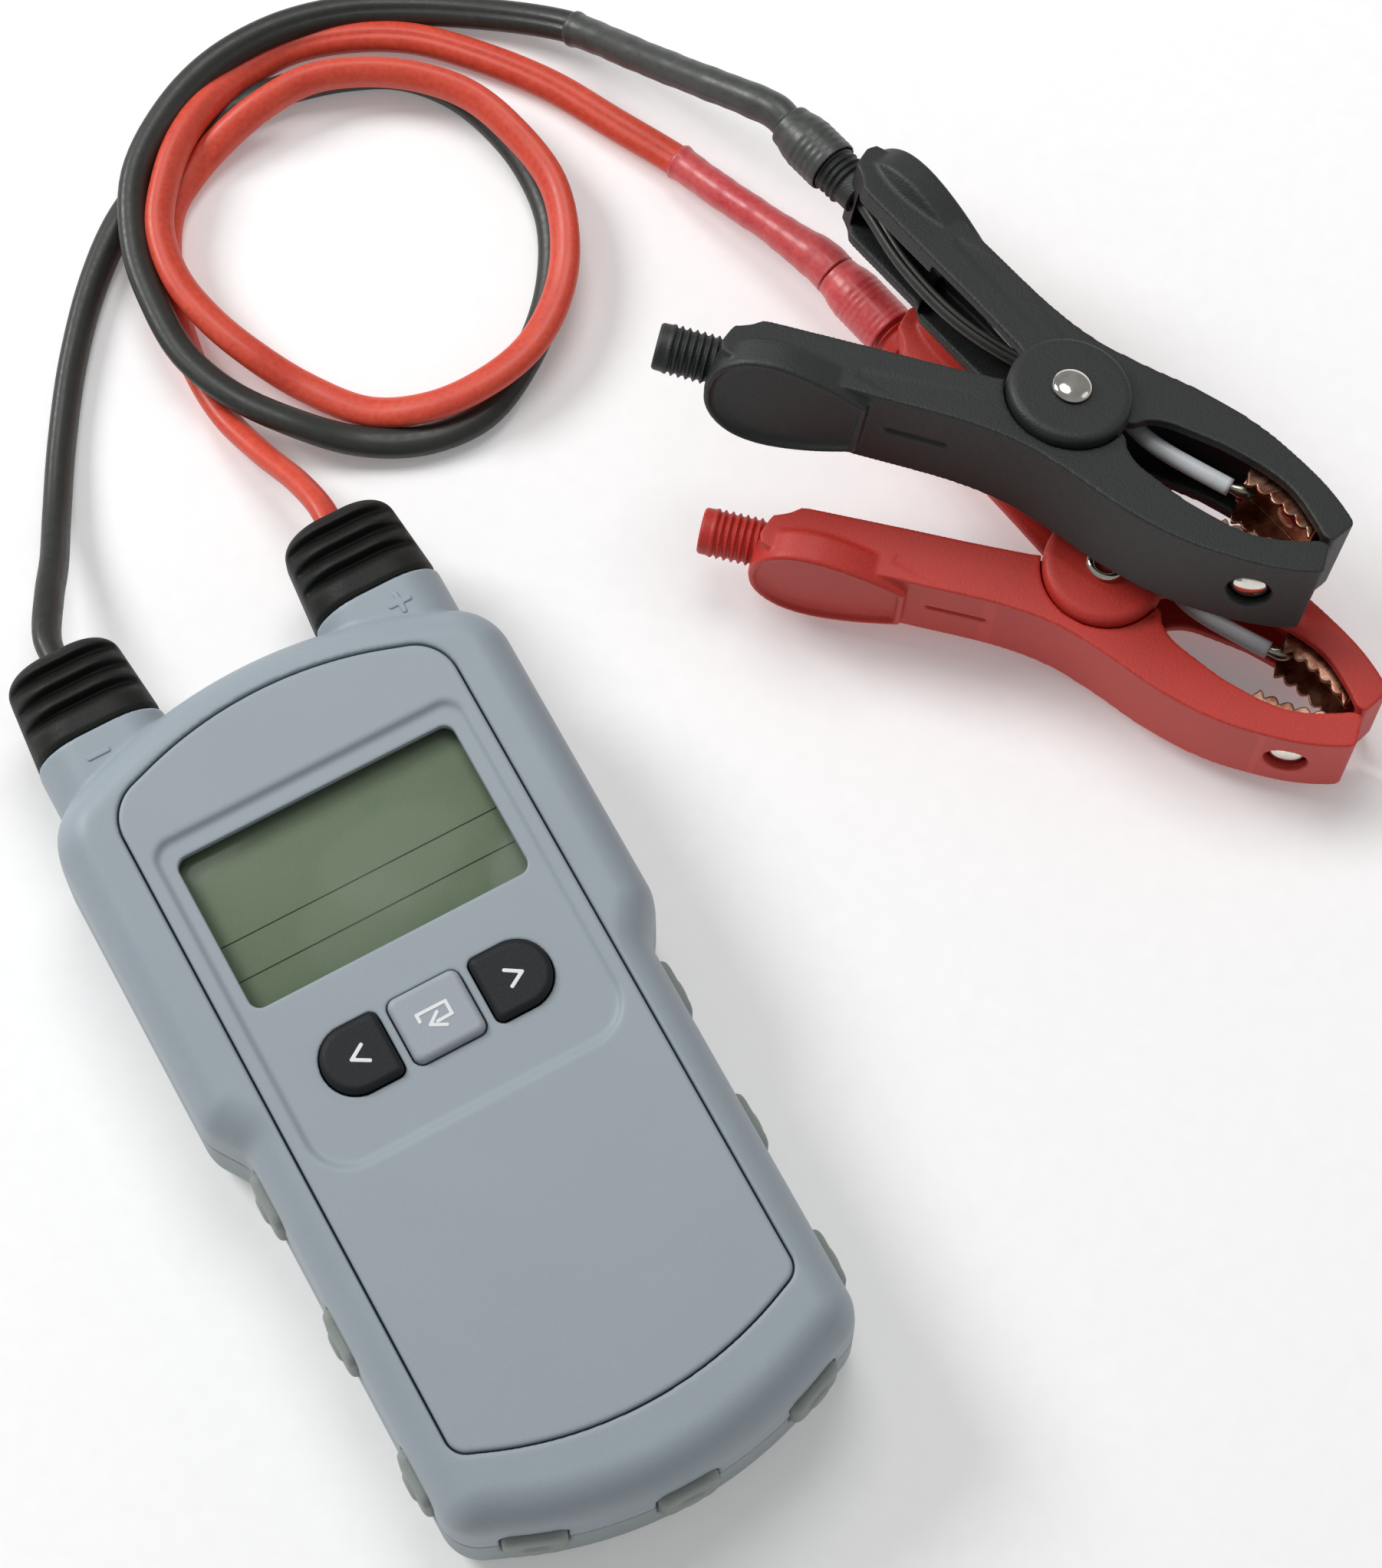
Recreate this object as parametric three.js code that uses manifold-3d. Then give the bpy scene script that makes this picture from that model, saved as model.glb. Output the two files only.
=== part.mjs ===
// Battery tester: a moulded two-part case with a display and three keys, and two leads that end in clamps.
// Millimetres. Origin at the centre of the flat back, +X right, +Y towards the leads, +Z out of the display.
import * as THREE from "three";
import { mergeVertices } from "three/addons/utils/BufferGeometryUtils.js";
import Module from "manifold-3d";

const wasm = await Module();
wasm.setup();

// ---- Driving dimensions ----
const CASE_HEIGHT = 38;
const PARTING_Z = 20;
const WALL = 2.2;
const UPPER_HALF_WIDTH = 51;
const LOWER_HALF_WIDTH = 45.5;
const GAP = 0.3;
const LEAD_X = 31.8;
const LEAD_Z = 19.5;
const COLLAR_WIDTH = 28.4;
const COLLAR_HEIGHT = 25;
const COLLAR_END_Y = 97;
const BOOT_END_Y = 117.7;
const PANEL_THICKNESS = 3;
const PANEL_RECESS = 1;
const SCREW_PLACES = [[39.5, -70], [-39.5, -70], [43.5, 58], [-43.5, 58]];
const DISPLAY = { width: 62, height: 35.4, y: 44.3 };
const KEY_ROW_Y = 8.3;
const KEY_TOP_Z = 38.6;
const BUMPER = { length: 13, height: 14, depth: 3.6, proud: 2.2, corner: 3 };
const LEAD_RADIUS = 2.6;
const LEVER_HALF_THICKNESS = 10.5;
const LEVER_SIDE_WALL = 2.5;
const GRIP_HALF_THICKNESS = 8;
const PIVOT_RADIUS = 13;
const PIVOT_HALF_THICKNESS = 13.3;
const RIVET_RADIUS = 2.2;

// ---- Colours and finishes ----
function finish(color, roughness, metalness = 0) {
  return new THREE.MeshStandardMaterial({ color, roughness, metalness });
}
const CASE_GREY = finish(0x9ba8b2, 0.55);
const REAR_GREY = finish(0x96a09f, 0.6);
const PANEL_GREY = finish(0x97a4aa, 0.55);
const BUMPER_GREY = finish(0x8f9893, 0.7);
const KEY_CHARCOAL = finish(0x2b2d2f, 0.6);
const BLACK_RUBBER = finish(0x1e1f1e, 0.6);
const CLEAR_LENS = finish(0xdfe6df, 0.1);
const LCD_GREEN = finish(0x77866c, 0.3);
const BOARD_GREEN = finish(0x1f5a36, 0.5);
const PLATED_STEEL = finish(0xc9c9c4, 0.25, 1);
const COPPER = finish(0xb07a5a, 0.35, 1);
const WHITE_SLEEVE = finish(0xd8dad8, 0.5);
const INK_BLACK = finish(0x202020, 0.4);
const BLACK_SET = {
  clamp: finish(0x3b3e3c, 0.55),
  lead: finish(0x222423, 0.45),
  shrink: finish(0x2a2c2b, 0.5),
  sleeveStart: 6.4,
};
const RED_SET = {
  clamp: finish(0xa93a32, 0.5),
  lead: finish(0xc8452f, 0.45),
  shrink: finish(0xc04050, 0.4),
  sleeveStart: 2.6,
};

const tester = new THREE.Group();

function addPiece(group, name, shape, material) {
  const geometry = shape.isBufferGeometry ? shape : geometryFrom(shape);
  const mesh = new THREE.Mesh(geometry, material);
  mesh.name = name;
  group.add(mesh);
  return mesh;
}

// ---- Solids: join and cut take three.js geometry or an earlier join or cut ----
function solidFrom(geometry) {
  if (!geometry.isBufferGeometry) {
    return geometry;
  }
  const bare = geometry.clone();
  bare.deleteAttribute("normal");
  bare.deleteAttribute("uv");
  const merged = mergeVertices(bare, 1e-4);
  const vertProperties = new Float32Array(merged.attributes.position.array);
  const triVerts = new Uint32Array(merged.index.array);
  return new wasm.Manifold(new wasm.Mesh({ numProp: 3, vertProperties, triVerts }));
}

function geometryFrom(solid) {
  const mesh = solid.getMesh();
  const positions = new Float32Array(mesh.numVert * 3);
  for (let i = 0; i < mesh.numVert; i++) {
    const start = i * mesh.numProp;
    positions.set(mesh.vertProperties.subarray(start, start + 3), i * 3);
  }
  const geometry = new THREE.BufferGeometry();
  geometry.setAttribute("position", new THREE.BufferAttribute(positions, 3));
  geometry.setIndex(new THREE.BufferAttribute(new Uint32Array(mesh.triVerts), 1));
  return geometry;
}

function join(first, ...others) {
  return others.reduce((sum, other) => sum.add(solidFrom(other)), solidFrom(first));
}

function cut(body, ...tools) {
  return tools.reduce((left, tool) => left.subtract(solidFrom(tool)), solidFrom(body));
}

function box(x0, x1, y0, y1, z0, z1) {
  const geometry = new THREE.BoxGeometry(x1 - x0, y1 - y0, z1 - z0);
  return geometry.translate((x0 + x1) / 2, (y0 + y1) / 2, (z0 + z1) / 2);
}

function uprightCylinder(x, y, radius, z0, z1, sides = 16) {
  const geometry = new THREE.CylinderGeometry(radius, radius, z1 - z0, sides);
  return geometry.rotateX(Math.PI / 2).translate(x, y, (z0 + z1) / 2);
}

// ---- Outlines ----
// Each corner is [x, y, radius, steps]; the outline runs straight between the corner arcs.
function roundedOutline(corners) {
  const points = [];
  corners.forEach(([x, y, radius, steps], i) => {
    const corner = new THREE.Vector2(x, y);
    const before = new THREE.Vector2(...corners.at(i - 1).slice(0, 2));
    const after = new THREE.Vector2(...corners[(i + 1) % corners.length].slice(0, 2));
    const inward = before.sub(corner).normalize();
    const outward = after.sub(corner).normalize();
    const halfAngle = Math.acos(inward.dot(outward)) / 2;
    const reach = radius / Math.tan(halfAngle);
    const start = corner.clone().addScaledVector(inward, reach);
    const bisector = inward.clone().add(outward).normalize();
    const centre = corner.clone().addScaledVector(bisector, radius / Math.sin(halfAngle));
    const turn = Math.sign(outward.cross(inward)) * (Math.PI - 2 * halfAngle);
    const spoke = start.sub(centre);
    for (let k = 0; k <= steps; k++) {
      const turned = spoke.clone().rotateAround(new THREE.Vector2(), (turn * k) / steps);
      points.push(centre.clone().add(turned));
    }
  });
  return points;
}

// The outline moved inwards by an equal distance everywhere; a negative distance grows it.
function insetOutline(points, distance) {
  return points.map((point, i) => {
    const before = points.at(i - 1);
    const after = points[(i + 1) % points.length];
    const first = point.clone().sub(before).normalize();
    const second = after.clone().sub(point).normalize();
    const normal = new THREE.Vector2(-first.y - second.y, first.x + second.x).normalize();
    const stretch = distance / Math.max(0.5, normal.dot(new THREE.Vector2(-first.y, first.x)));
    return point.clone().addScaledVector(normal, stretch);
  });
}

function mirrored(points) {
  return points.map((p) => new THREE.Vector2(-p.x, p.y)).reverse();
}

function prism(points, z0, z1) {
  const shape = new THREE.Shape(points);
  const geometry = new THREE.ExtrudeGeometry(shape, { depth: z1 - z0, bevelEnabled: false });
  return geometry.translate(0, 0, z0);
}

function rectangle(width, height, radius, steps = 4) {
  const x = width / 2;
  const y = height / 2;
  const corners = [[x, -y], [x, y], [-x, y], [-x, -y]];
  return roundedOutline(corners.map(([cornerX, cornerY]) => [cornerX, cornerY, radius, steps]));
}

// A closed skin through rings that all have the same number of points, each ring an array of Vector3.
function loft(rings) {
  const count = rings[0].length;
  const positions = rings.flat().flatMap((p) => [p.x, p.y, p.z]);
  const index = [];
  for (let r = 0; r + 1 < rings.length; r++) {
    for (let i = 0; i < count; i++) {
      const a = r * count + i;
      const b = r * count + ((i + 1) % count);
      index.push(a, b, b + count, a, b + count, a + count);
    }
  }
  const cap = THREE.ShapeUtils.triangulateShape(rings[0].map((p) => new THREE.Vector2(p.u, p.v)), []);
  const last = (rings.length - 1) * count;
  for (const [a, b, c] of cap) {
    index.push(c, b, a);
    index.push(last + a, last + b, last + c);
  }
  const geometry = new THREE.BufferGeometry();
  geometry.setAttribute("position", new THREE.Float32BufferAttribute(positions, 3));
  geometry.setIndex(index);
  return geometry;
}

function level(points, z) {
  return points.map((p) => Object.assign(new THREE.Vector3(p.x, p.y, z), { u: p.x, v: p.y }));
}

// ---- Outlines of the case and its face ----
const CASE_OUTLINE = roundedOutline([
  [LOWER_HALF_WIDTH, -83.6, 9, 5],
  [LOWER_HALF_WIDTH, 3, 5, 3],
  [UPPER_HALF_WIDTH, 11.5, 9, 3],
  [UPPER_HALF_WIDTH, 82.7, 13, 5],
  [0, 102.4, 100, 8],
  [-UPPER_HALF_WIDTH, 82.7, 13, 5],
  [-UPPER_HALF_WIDTH, 11.5, 9, 3],
  [-LOWER_HALF_WIDTH, 3, 5, 3],
  [-LOWER_HALF_WIDTH, -83.6, 9, 5],
  [0, -102.5, 86, 8],
]);
const PANEL_OPENING = roundedOutline([
  [37.9, -70.5, 4.5, 4],
  [37.9, 78.3, 10, 5],
  [0, 91.3, 83, 8],
  [-37.9, 78.3, 10, 5],
  [-37.9, -70.5, 4.5, 4],
  [0, -86.3, 83, 8],
]);
const FACE_RECESS = roundedOutline([
  [34.5, -11.6, 9, 5],
  [34.5, 66.5, 4, 4],
  [-34.5, 66.5, 4, 4],
  [-34.5, -11.6, 9, 5],
]);
const DISPLAY_OPENING = rectangle(DISPLAY.width, DISPLAY.height, 2.5).map((p) => p.setY(p.y + DISPLAY.y));
const ENTER_KEY = rectangle(15.8, 14.6, 2).map((p) => p.setY(p.y + KEY_ROW_Y));
const RIGHT_KEY = roundedOutline([
  [25, KEY_ROW_Y - 7.2, 7, 6],
  [25, KEY_ROW_Y + 7.2, 7, 6],
  [10.3, KEY_ROW_Y + 7.2, 1.6, 3],
  [10.3, KEY_ROW_Y - 7.2, 1.6, 3],
]);
const KEYS = { key_left: mirrored(RIGHT_KEY), key_enter: ENTER_KEY, key_right: RIGHT_KEY };

// ---- Bumpers: rubber blocks in recesses that straddle the parting line ----
// Each place is [name, x, y, turn about Z], where the block faces outwards along the turned +X.
function bumperPlaces() {
  const places = [];
  [-5.7, -37, -68.5].forEach((y, i) => {
    places.push([`bumper_right_${i + 1}`, LOWER_HALF_WIDTH, y, 0]);
    places.push([`bumper_left_${i + 1}`, -LOWER_HALF_WIDTH, y, Math.PI]);
  });
  const endRadius = 86;
  const endCentreY = -9.4;
  [-21, 0, 21].forEach((degrees, i) => {
    const angle = THREE.MathUtils.degToRad(degrees - 90);
    const x = endRadius * Math.cos(angle);
    const y = endCentreY + endRadius * Math.sin(angle);
    places.push([`bumper_end_${i + 1}`, x, y, angle]);
  });
  return places;
}

// A block of the bumper's face shape, standing out along +X.
function bumperBlock() {
  return alongX(rectangle(BUMPER.length, BUMPER.height, BUMPER.corner), [
    [BUMPER.proud - BUMPER.depth, 0],
    [BUMPER.proud - 1, 0],
    [BUMPER.proud, 1],
  ]);
}

function bumperRecess() {
  return alongX(rectangle(BUMPER.length + 2 * GAP, BUMPER.height + 2 * GAP, BUMPER.corner), [
    [BUMPER.proud - BUMPER.depth - GAP, 0],
    [BUMPER.proud + 2, 0],
  ]);
}

// Each station is [x, inset]: the section standing across X, shrunk by the inset.
function alongX(section, stations) {
  return loft(stations.map(([x, inset]) => insetOutline(section, inset).map((p) => (
    Object.assign(new THREE.Vector3(x, p.x, p.y), { u: p.x, v: p.y })))));
}

function atBumper(geometry, [, x, y, turn]) {
  return geometry.rotateZ(turn).translate(x, y, PARTING_Z);
}

// ---- Case shells ----
function alongY(section, y0, y1) {
  return prism(section, 0, y1 - y0).rotateX(Math.PI / 2).translate(0, y1, 0);
}

function collarSolid(x, width, height, radius, y0, y1) {
  return alongY(rectangle(width, height, radius, 5), y0, y1).translate(x, 0, LEAD_Z);
}

function collars(z0, z1) {
  const outside = [box(-70, 70, 0, 120, -20, z0), box(-70, 70, 0, 120, z1, 60)];
  return [-LEAD_X, LEAD_X].map((x) => (
    cut(collarSolid(x, COLLAR_WIDTH, COLLAR_HEIGHT, 9, 80, COLLAR_END_Y), ...outside)));
}

function collarCuts() {
  const cuts = [];
  for (const x of [-LEAD_X, LEAD_X]) {
    cuts.push(collarSolid(x, COLLAR_WIDTH - 6, COLLAR_HEIGHT - 6, 7, 60, COLLAR_END_Y + 2));
  }
  return cuts;
}

function rearCase() {
  const outer = [[0, 3.6], [1.2, 1.6], [3.6, 0.5], [PARTING_Z - GAP / 2, 0]];
  const inner = [[WALL, 6], [4.5, 3.2], [PARTING_Z + 1, WALL]];
  const shell = cut(
    loft(outer.map(([z, inset]) => level(insetOutline(CASE_OUTLINE, inset), z))),
    loft(inner.map(([z, inset]) => level(insetOutline(CASE_OUTLINE, inset), z))),
  );
  const posts = SCREW_PLACES.map(([x, y]) => uprightCylinder(x, y, 3.8, 1, PARTING_Z - GAP / 2));
  const body = join(shell, ...collars(0, PARTING_Z - GAP / 2), ...posts);
  const screwHoles = SCREW_PLACES.flatMap(([x, y]) => [
    uprightCylinder(x, y, 1.8, -1, 23),
    uprightCylinder(x, y, 3.4, -1, 3.6),
  ]);
  const recesses = bumperPlaces().map((place) => atBumper(bumperRecess(), place));
  return cut(body, ...collarCuts(), ...screwHoles, ...recesses);
}

function polarityMarks() {
  const top = LEAD_Z + COLLAR_HEIGHT / 2;
  const y = 91.5;
  const marks = [[-LEAD_X - 2, 2.6, 0.6], [LEAD_X + 3, 2.6, 0.6], [LEAD_X + 3, 0.6, 2.6]];
  return marks.map(([x, halfX, halfY]) => (
    box(x - halfX, x + halfX, y - halfY, y + halfY, top - 1, top + 0.4)));
}

function frontCase() {
  const crown = [[29, 0.4], [32.5, 1.2], [35.2, 2.6], [37, 4.4], [CASE_HEIGHT, 6.4]];
  const outer = [[PARTING_Z + GAP / 2, 0], ...crown];
  const inner = [[PARTING_Z - 1, WALL], [30, 2.8], [33, 4.2], [35.6, 7]];
  const cavity = cut(
    loft(inner.map(([z, inset]) => level(insetOutline(CASE_OUTLINE, inset), z))),
    prism(insetOutline(PANEL_OPENING, -2.2), 32.4, 40),
  );
  const shell = cut(
    loft(outer.map(([z, inset]) => level(insetOutline(CASE_OUTLINE, inset), z))),
    cavity,
  );
  const bosses = SCREW_PLACES.map(([x, y]) => uprightCylinder(x, y, 3.4, PARTING_Z + GAP / 2, 34));
  const body = join(shell, ...collars(PARTING_Z + GAP / 2, CASE_HEIGHT), ...bosses, ...polarityMarks());
  const panelFloor = CASE_HEIGHT - PANEL_THICKNESS - GAP;
  const opening = prism(PANEL_OPENING, panelFloor, 45);
  const ledge = prism(insetOutline(PANEL_OPENING, 3), 25, 45);
  const screwHoles = SCREW_PLACES.map(([x, y]) => uprightCylinder(x, y, 1.8, 20, 31));
  const recesses = bumperPlaces().map((place) => atBumper(bumperRecess(), place));
  return cut(body, opening, ledge, ...collarCuts(), ...screwHoles, ...recesses);
}

function screw(x, y) {
  return join(uprightCylinder(x, y, 3, 1, 3.3), uprightCylinder(x, y, 1.5, 3, 30, 10));
}

// ---- Face panel, keys and display ----
function facePanel() {
  const plate = prism(insetOutline(PANEL_OPENING, GAP + 0.1), CASE_HEIGHT - PANEL_THICKNESS, CASE_HEIGHT);
  const recess = prism(FACE_RECESS, CASE_HEIGHT - PANEL_RECESS, CASE_HEIGHT + 1);
  const holes = Object.values(KEYS).map((outline) => prism(insetOutline(outline, -0.35), 30, 45));
  return cut(plate, recess, prism(DISPLAY_OPENING, 30, 45), ...holes);
}

function keyCap(outline) {
  const crown = [[32, 0], [KEY_TOP_Z - 0.7, 0], [KEY_TOP_Z, 0.8]];
  const cap = loft(crown.map(([z, inset]) => level(insetOutline(outline, inset), z)));
  const flange = prism(insetOutline(outline, -1), 32.4, 34.4);
  const middle = new THREE.Box2().setFromPoints(outline).getCenter(new THREE.Vector2());
  const stem = uprightCylinder(middle.x, middle.y, 2.4, 28.7, 32.6, 10);
  return join(cap, flange, stem);
}

function displayPlate(width, height, z0, z1) {
  return prism(rectangle(width, height, 1, 2).map((p) => p.setY(p.y + DISPLAY.y)), z0, z1);
}

function keypadMat() {
  const pads = [-17.5, 0, 17.5].map((x) => uprightCylinder(x, KEY_ROW_Y, 4, 26.5, 27.6, 12));
  return join(box(-28, 28, -2, 18.5, 25.9, 27), ...pads);
}

// ---- Lead boots ----
function leadBoot(x) {
  const stations = [[COLLAR_END_Y + GAP, 0.99], [102.4, 0.96]];
  for (let rib = 0; rib < 3; rib++) {
    const groove = 103.6 + rib * 4.5;
    const scale = 0.94 - rib * 0.035;
    stations.push([groove, scale - 0.1], [groove + 1.2, scale - 0.1], [groove + 1.6, scale]);
    stations.push([groove + 3.6, scale - 0.02]);
  }
  stations.push([BOOT_END_Y, 0.72]);
  const section = rectangle(COLLAR_WIDTH, COLLAR_HEIGHT, 9, 4);
  const body = loft(stations.map(([y, scale]) => section.map((p) => Object.assign(
    new THREE.Vector3(x - p.x * scale, y, LEAD_Z + p.y * scale), { u: p.x, v: p.y }))));
  const plugGap = 6 + 2 * GAP;
  const plug = collarSolid(x, COLLAR_WIDTH - plugGap, COLLAR_HEIGHT - plugGap, 6.7, 88, COLLAR_END_Y + 1.5);
  return join(body, plug);
}

// ---- Tubes ----
function tube(points, radius, steps, sides = 8) {
  const path = new THREE.CatmullRomCurve3(points.map((p) => new THREE.Vector3(...p)), false, "centripetal");
  const ring = [];
  for (let i = 0; i < sides; i++) {
    const angle = (2 * Math.PI * (i + 0.5)) / sides;
    ring.push(new THREE.Vector2(radius * Math.cos(angle), radius * Math.sin(angle)));
  }
  return new THREE.ExtrudeGeometry(new THREE.Shape(ring), { steps, extrudePath: path });
}

// Free route of each lead, from its boot to where the shrink sleeve starts.
const BLACK_ROUTE = [
  [-31.8, 118.2, 19.5], [-31.3, 124, 18.4], [-26.4, 134.4, 14.2], [-21.9, 142.5, 9.8], [-16.5, 153.5, 5.6],
  [-8, 169, 3.3], [2.7, 185.3, 3], [14.6, 199.6, 3], [27.2, 210.6, 2.9], [40, 217, 2.8],
  [52, 221.2, 2.75], [64.2, 222.4, 2.75], [75.4, 220.9, 2.75], [86, 217.8, 2.75], [96, 212.6, 2.75],
  [103.6, 204, 2.75], [108, 193.6, 2.75], [110.2, 179.6, 2.75], [108.2, 164.6, 2.75], [99.2, 149.2, 2.75],
  [87, 138.4, 2.75], [73.9, 132, 2.75], [60.2, 133, 2.75], [47.4, 139.2, 4], [36.5, 148.4, 7.8],
  [28, 160, 9], [23.6, 172.5, 9], [23.4, 186, 8.9], [25.6, 199.6, 8.9], [33.4, 215.4, 9],
  [46.4, 225.8, 9], [59.9, 231.4, 8.8], [76, 233.4, 7.2], [91.5, 231.2, 5], [105.5, 225.2, 3.6],
  [118, 217, 4], [127.5, 208.4, 6.6], [133, 201.7, 9.2],
];
const RED_ROUTE = [
  [31.8, 118.2, 19.5], [31.9, 123.6, 18.4], [30.7, 132.6, 14.6], [27.8, 144.2, 9], [25.2, 157.4, 4.4],
  [24.9, 170, 2.9], [26.6, 183, 2.75], [30.6, 196.4, 2.75], [37, 207.4, 2.8], [45.4, 213, 3.2],
  [55.4, 216.4, 5.4], [65.3, 218, 7.8], [76.5, 218.2, 8.8], [86.6, 214.9, 8.8], [97.4, 207.9, 8.8],
  [105.6, 198.4, 8.8], [110, 186.4, 8.8], [111.8, 170.6, 8.8], [106.8, 155.6, 8.8], [98.7, 145.2, 8.8],
  [88.6, 138.6, 8.8], [76.5, 136, 8.7], [64.5, 137.4, 7], [52.8, 143.9, 4], [43.6, 155.4, 3.8],
  [36.4, 166.8, 7.4], [32, 178, 8.8], [30.2, 190, 8.9], [32.4, 201.8, 8.9], [38, 210.6, 9],
  [45.6, 218.4, 8.8], [55, 224.4, 7.2], [65.4, 228.2, 4.4], [77, 229.8, 2.8], [89, 226.7, 2.75],
  [102, 219.6, 2.75], [113.2, 208.4, 2.8], [123.6, 194.4, 3.2], [131.4, 179, 4], [138.8, 163.6, 5.6],
];
// Where each clamp's rivet lies, and its turns about X, Y and Z in degrees, made in that order.
const BLACK_CLAMP = { rivet: [169.6, 57.6, 42], turn: [-14.6, 1.2, -60] };
const RED_CLAMP = { rivet: [166, 30.4, 15.1], turn: [-3.5, 0.5, -59.8] };
const NOZZLE_BASE = [-64.3, -28, 0];
const NOZZLE_SLOPE = THREE.MathUtils.degToRad(18.2);
const SLEEVE_END = 20.5;

// The point that is the distance beyond the base of a placed clamp's lead nozzle, along its axis.
function beyondNozzle({ rivet, turn }, distance) {
  const x = NOZZLE_BASE[0] - distance * Math.cos(NOZZLE_SLOPE);
  const y = -NOZZLE_BASE[1] + distance * Math.sin(NOZZLE_SLOPE);
  const euler = new THREE.Euler(...turn.map(THREE.MathUtils.degToRad), "ZYX");
  return new THREE.Vector3(x, y, 0).applyEuler(euler).add(new THREE.Vector3(...rivet)).toArray();
}

// Each shrink sleeve carries on from its lead's end to the open end of the clamp's nozzle sleeve.
const BLACK_SHRINK = [
  [133.4, 200.9, 9.5], [136, 195.4, 12.2], [141.2, 181.8, 20.2], [147.8, 166.6, 28.6], [152.6, 157, 33],
  beyondNozzle(BLACK_CLAMP, SLEEVE_END + 4), beyondNozzle(BLACK_CLAMP, SLEEVE_END + GAP),
];
const RED_SHRINK = [
  [139, 163.2, 5.7], [142.8, 151.4, 8.4], [147.4, 138.6, 11.4], [150.4, 130, 13],
  beyondNozzle(RED_CLAMP, SLEEVE_END + 4), beyondNozzle(RED_CLAMP, SLEEVE_END + GAP),
];

// ---- Clamps ----
// A clamp's own frame: the rivet stands along Z at the origin and +X points to the jaw tips.
// The outlines are those of the moving lever, on the -Y side; the fixed lever is their mirror image.
const LEVER_BACK = [
  [-64.6, -30.6], [-63.4, -32.6], [-61.6, -32.8], [-33, -24.2], [-14.6, -18.4], [-6, -16.6], [0, -16.1],
  [10, -16.6], [20, -17.7], [29, -17.9], [38, -17], [45, -15.3], [52, -13.1], [57, -10.9], [61.2, -8.5],
  [62.6, -7.2], [62.5, -5.8], [61.4, -1.8], [60.8, -0.7],
];
const LEVER_FRONT = [
  [58.8, -0.8], [55.5, -3.2], [50.5, -6.2], [46.5, -7.7], [40.5, -8.5], [33, -8.5], [25.5, -7.5],
  [19.5, -6.3], [16.2, -4.4], [13.5, -1.5], [-10, -1.5], [-12.2, -3.8], [-20, -7], [-40.5, -14.1],
  [-58.6, -20.4], [-60.6, -21.6], [-61.6, -23.4], [-64.4, -25.6],
];
const CHANNEL_BACK = [
  [-61.4, -30], [-33, -21.5], [-14.6, -15.8], [-6, -14], [0, -13.5], [10, -14], [20, -15.1], [29, -15.3],
  [38, -14.4], [45, -12.7], [52, -10.5], [57, -8.2], [58.8, -5],
];
const CHANNEL_OPEN = [[58.8, 15], [-61.4, 15]];
// Distance along the pad, away from the pivot, and its half width there.
const THUMB_PAD = [
  [-16.5, 7.3], [-9, 10.6], [-2, 12.7], [4, 13.4], [9.5, 12.3], [13.6, 9.2], [16, 5], [16.8, 0],
];
const GRIP_SLOPE = THREE.MathUtils.degToRad(17.3);
const GRIP_START_X = -38;

function vectors(points) {
  return points.map(([x, y]) => new THREE.Vector2(x, y));
}

// Lays a solid made along +X onto the grip, pointing away from the pivot.
function alongGrip(geometry, slope, [x, y, z]) {
  return geometry.rotateZ(Math.PI + slope).translate(x, y, z);
}

function thumbPad() {
  const lower = THUMB_PAD.map(([along, half]) => [along, -half]);
  const upper = THUMB_PAD.slice(0, -1).reverse();
  const outline = vectors([...lower, ...upper]);
  const pad = loft([[-6.8, 5.2], [-4.4, 0.2], [1.4, 0], [2.2, 0.7]].map(([z, inset]) => (
    level(insetOutline(outline, inset), z))));
  return alongGrip(pad.rotateX(-Math.PI / 2), GRIP_SLOPE, [-48.6, -29, 0]);
}

function nozzle() {
  const profile = [[3, -2.5], [4.6, -2.5], [4.6, 0.8]];
  for (let ridge = 0; ridge < 5; ridge++) {
    const start = 1 + ridge * 1.8;
    profile.push([5.3, start + 0.3], [5.3, start + 0.7], [4.6, start + 1.2]);
  }
  profile.push([5, 10.4], [5, 12], [4.6, 12.4], [3, 12.4], [3, -2.5]);
  const lathe = new THREE.LatheGeometry(vectors(profile), 14);
  return alongGrip(lathe.rotateZ(-Math.PI / 2), NOZZLE_SLOPE, NOZZLE_BASE);
}

function bothSides(z0, z1, make) {
  return [make(z0, z1), make(-z1, -z0)];
}

function leverChannel(halfWidth, x0, x1) {
  const channel = prism(vectors([...CHANNEL_BACK, ...CHANNEL_OPEN]), -halfWidth, halfWidth);
  const outside = [box(-80, x0, -40, 20, -20, 20), box(x1, 80, -40, 20, -20, 20)];
  return cut(channel, ...outside);
}

// The blank is a solid of full thickness, thinned along the grip, with its thumb pad and nozzle.
function leverBlank() {
  const body = prism(vectors([...LEVER_BACK, ...LEVER_FRONT]), -LEVER_HALF_THICKNESS, LEVER_HALF_THICKNESS);
  const thinning = bothSides(GRIP_HALF_THICKNESS, 15, (z0, z1) => box(-80, GRIP_START_X, -60, 0, z0, z1));
  const bore = alongGrip(uprightCylinder(0, 0, 3, -6, 8, 14).rotateY(Math.PI / 2), NOZZLE_SLOPE, NOZZLE_BASE);
  return cut(join(cut(body, ...thinning), thumbPad(), nozzle()), bore);
}

const CONTACT_RIVET = [51, -12];
const CONTACT_TURN = THREE.MathUtils.degToRad(20);

function contactHole() {
  const hole = uprightCylinder(0, 0, 4.6, -6, 6, 16).rotateX(Math.PI / 2).rotateZ(CONTACT_TURN);
  return hole.translate(CONTACT_RIVET[0], CONTACT_RIVET[1], 0);
}

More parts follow.
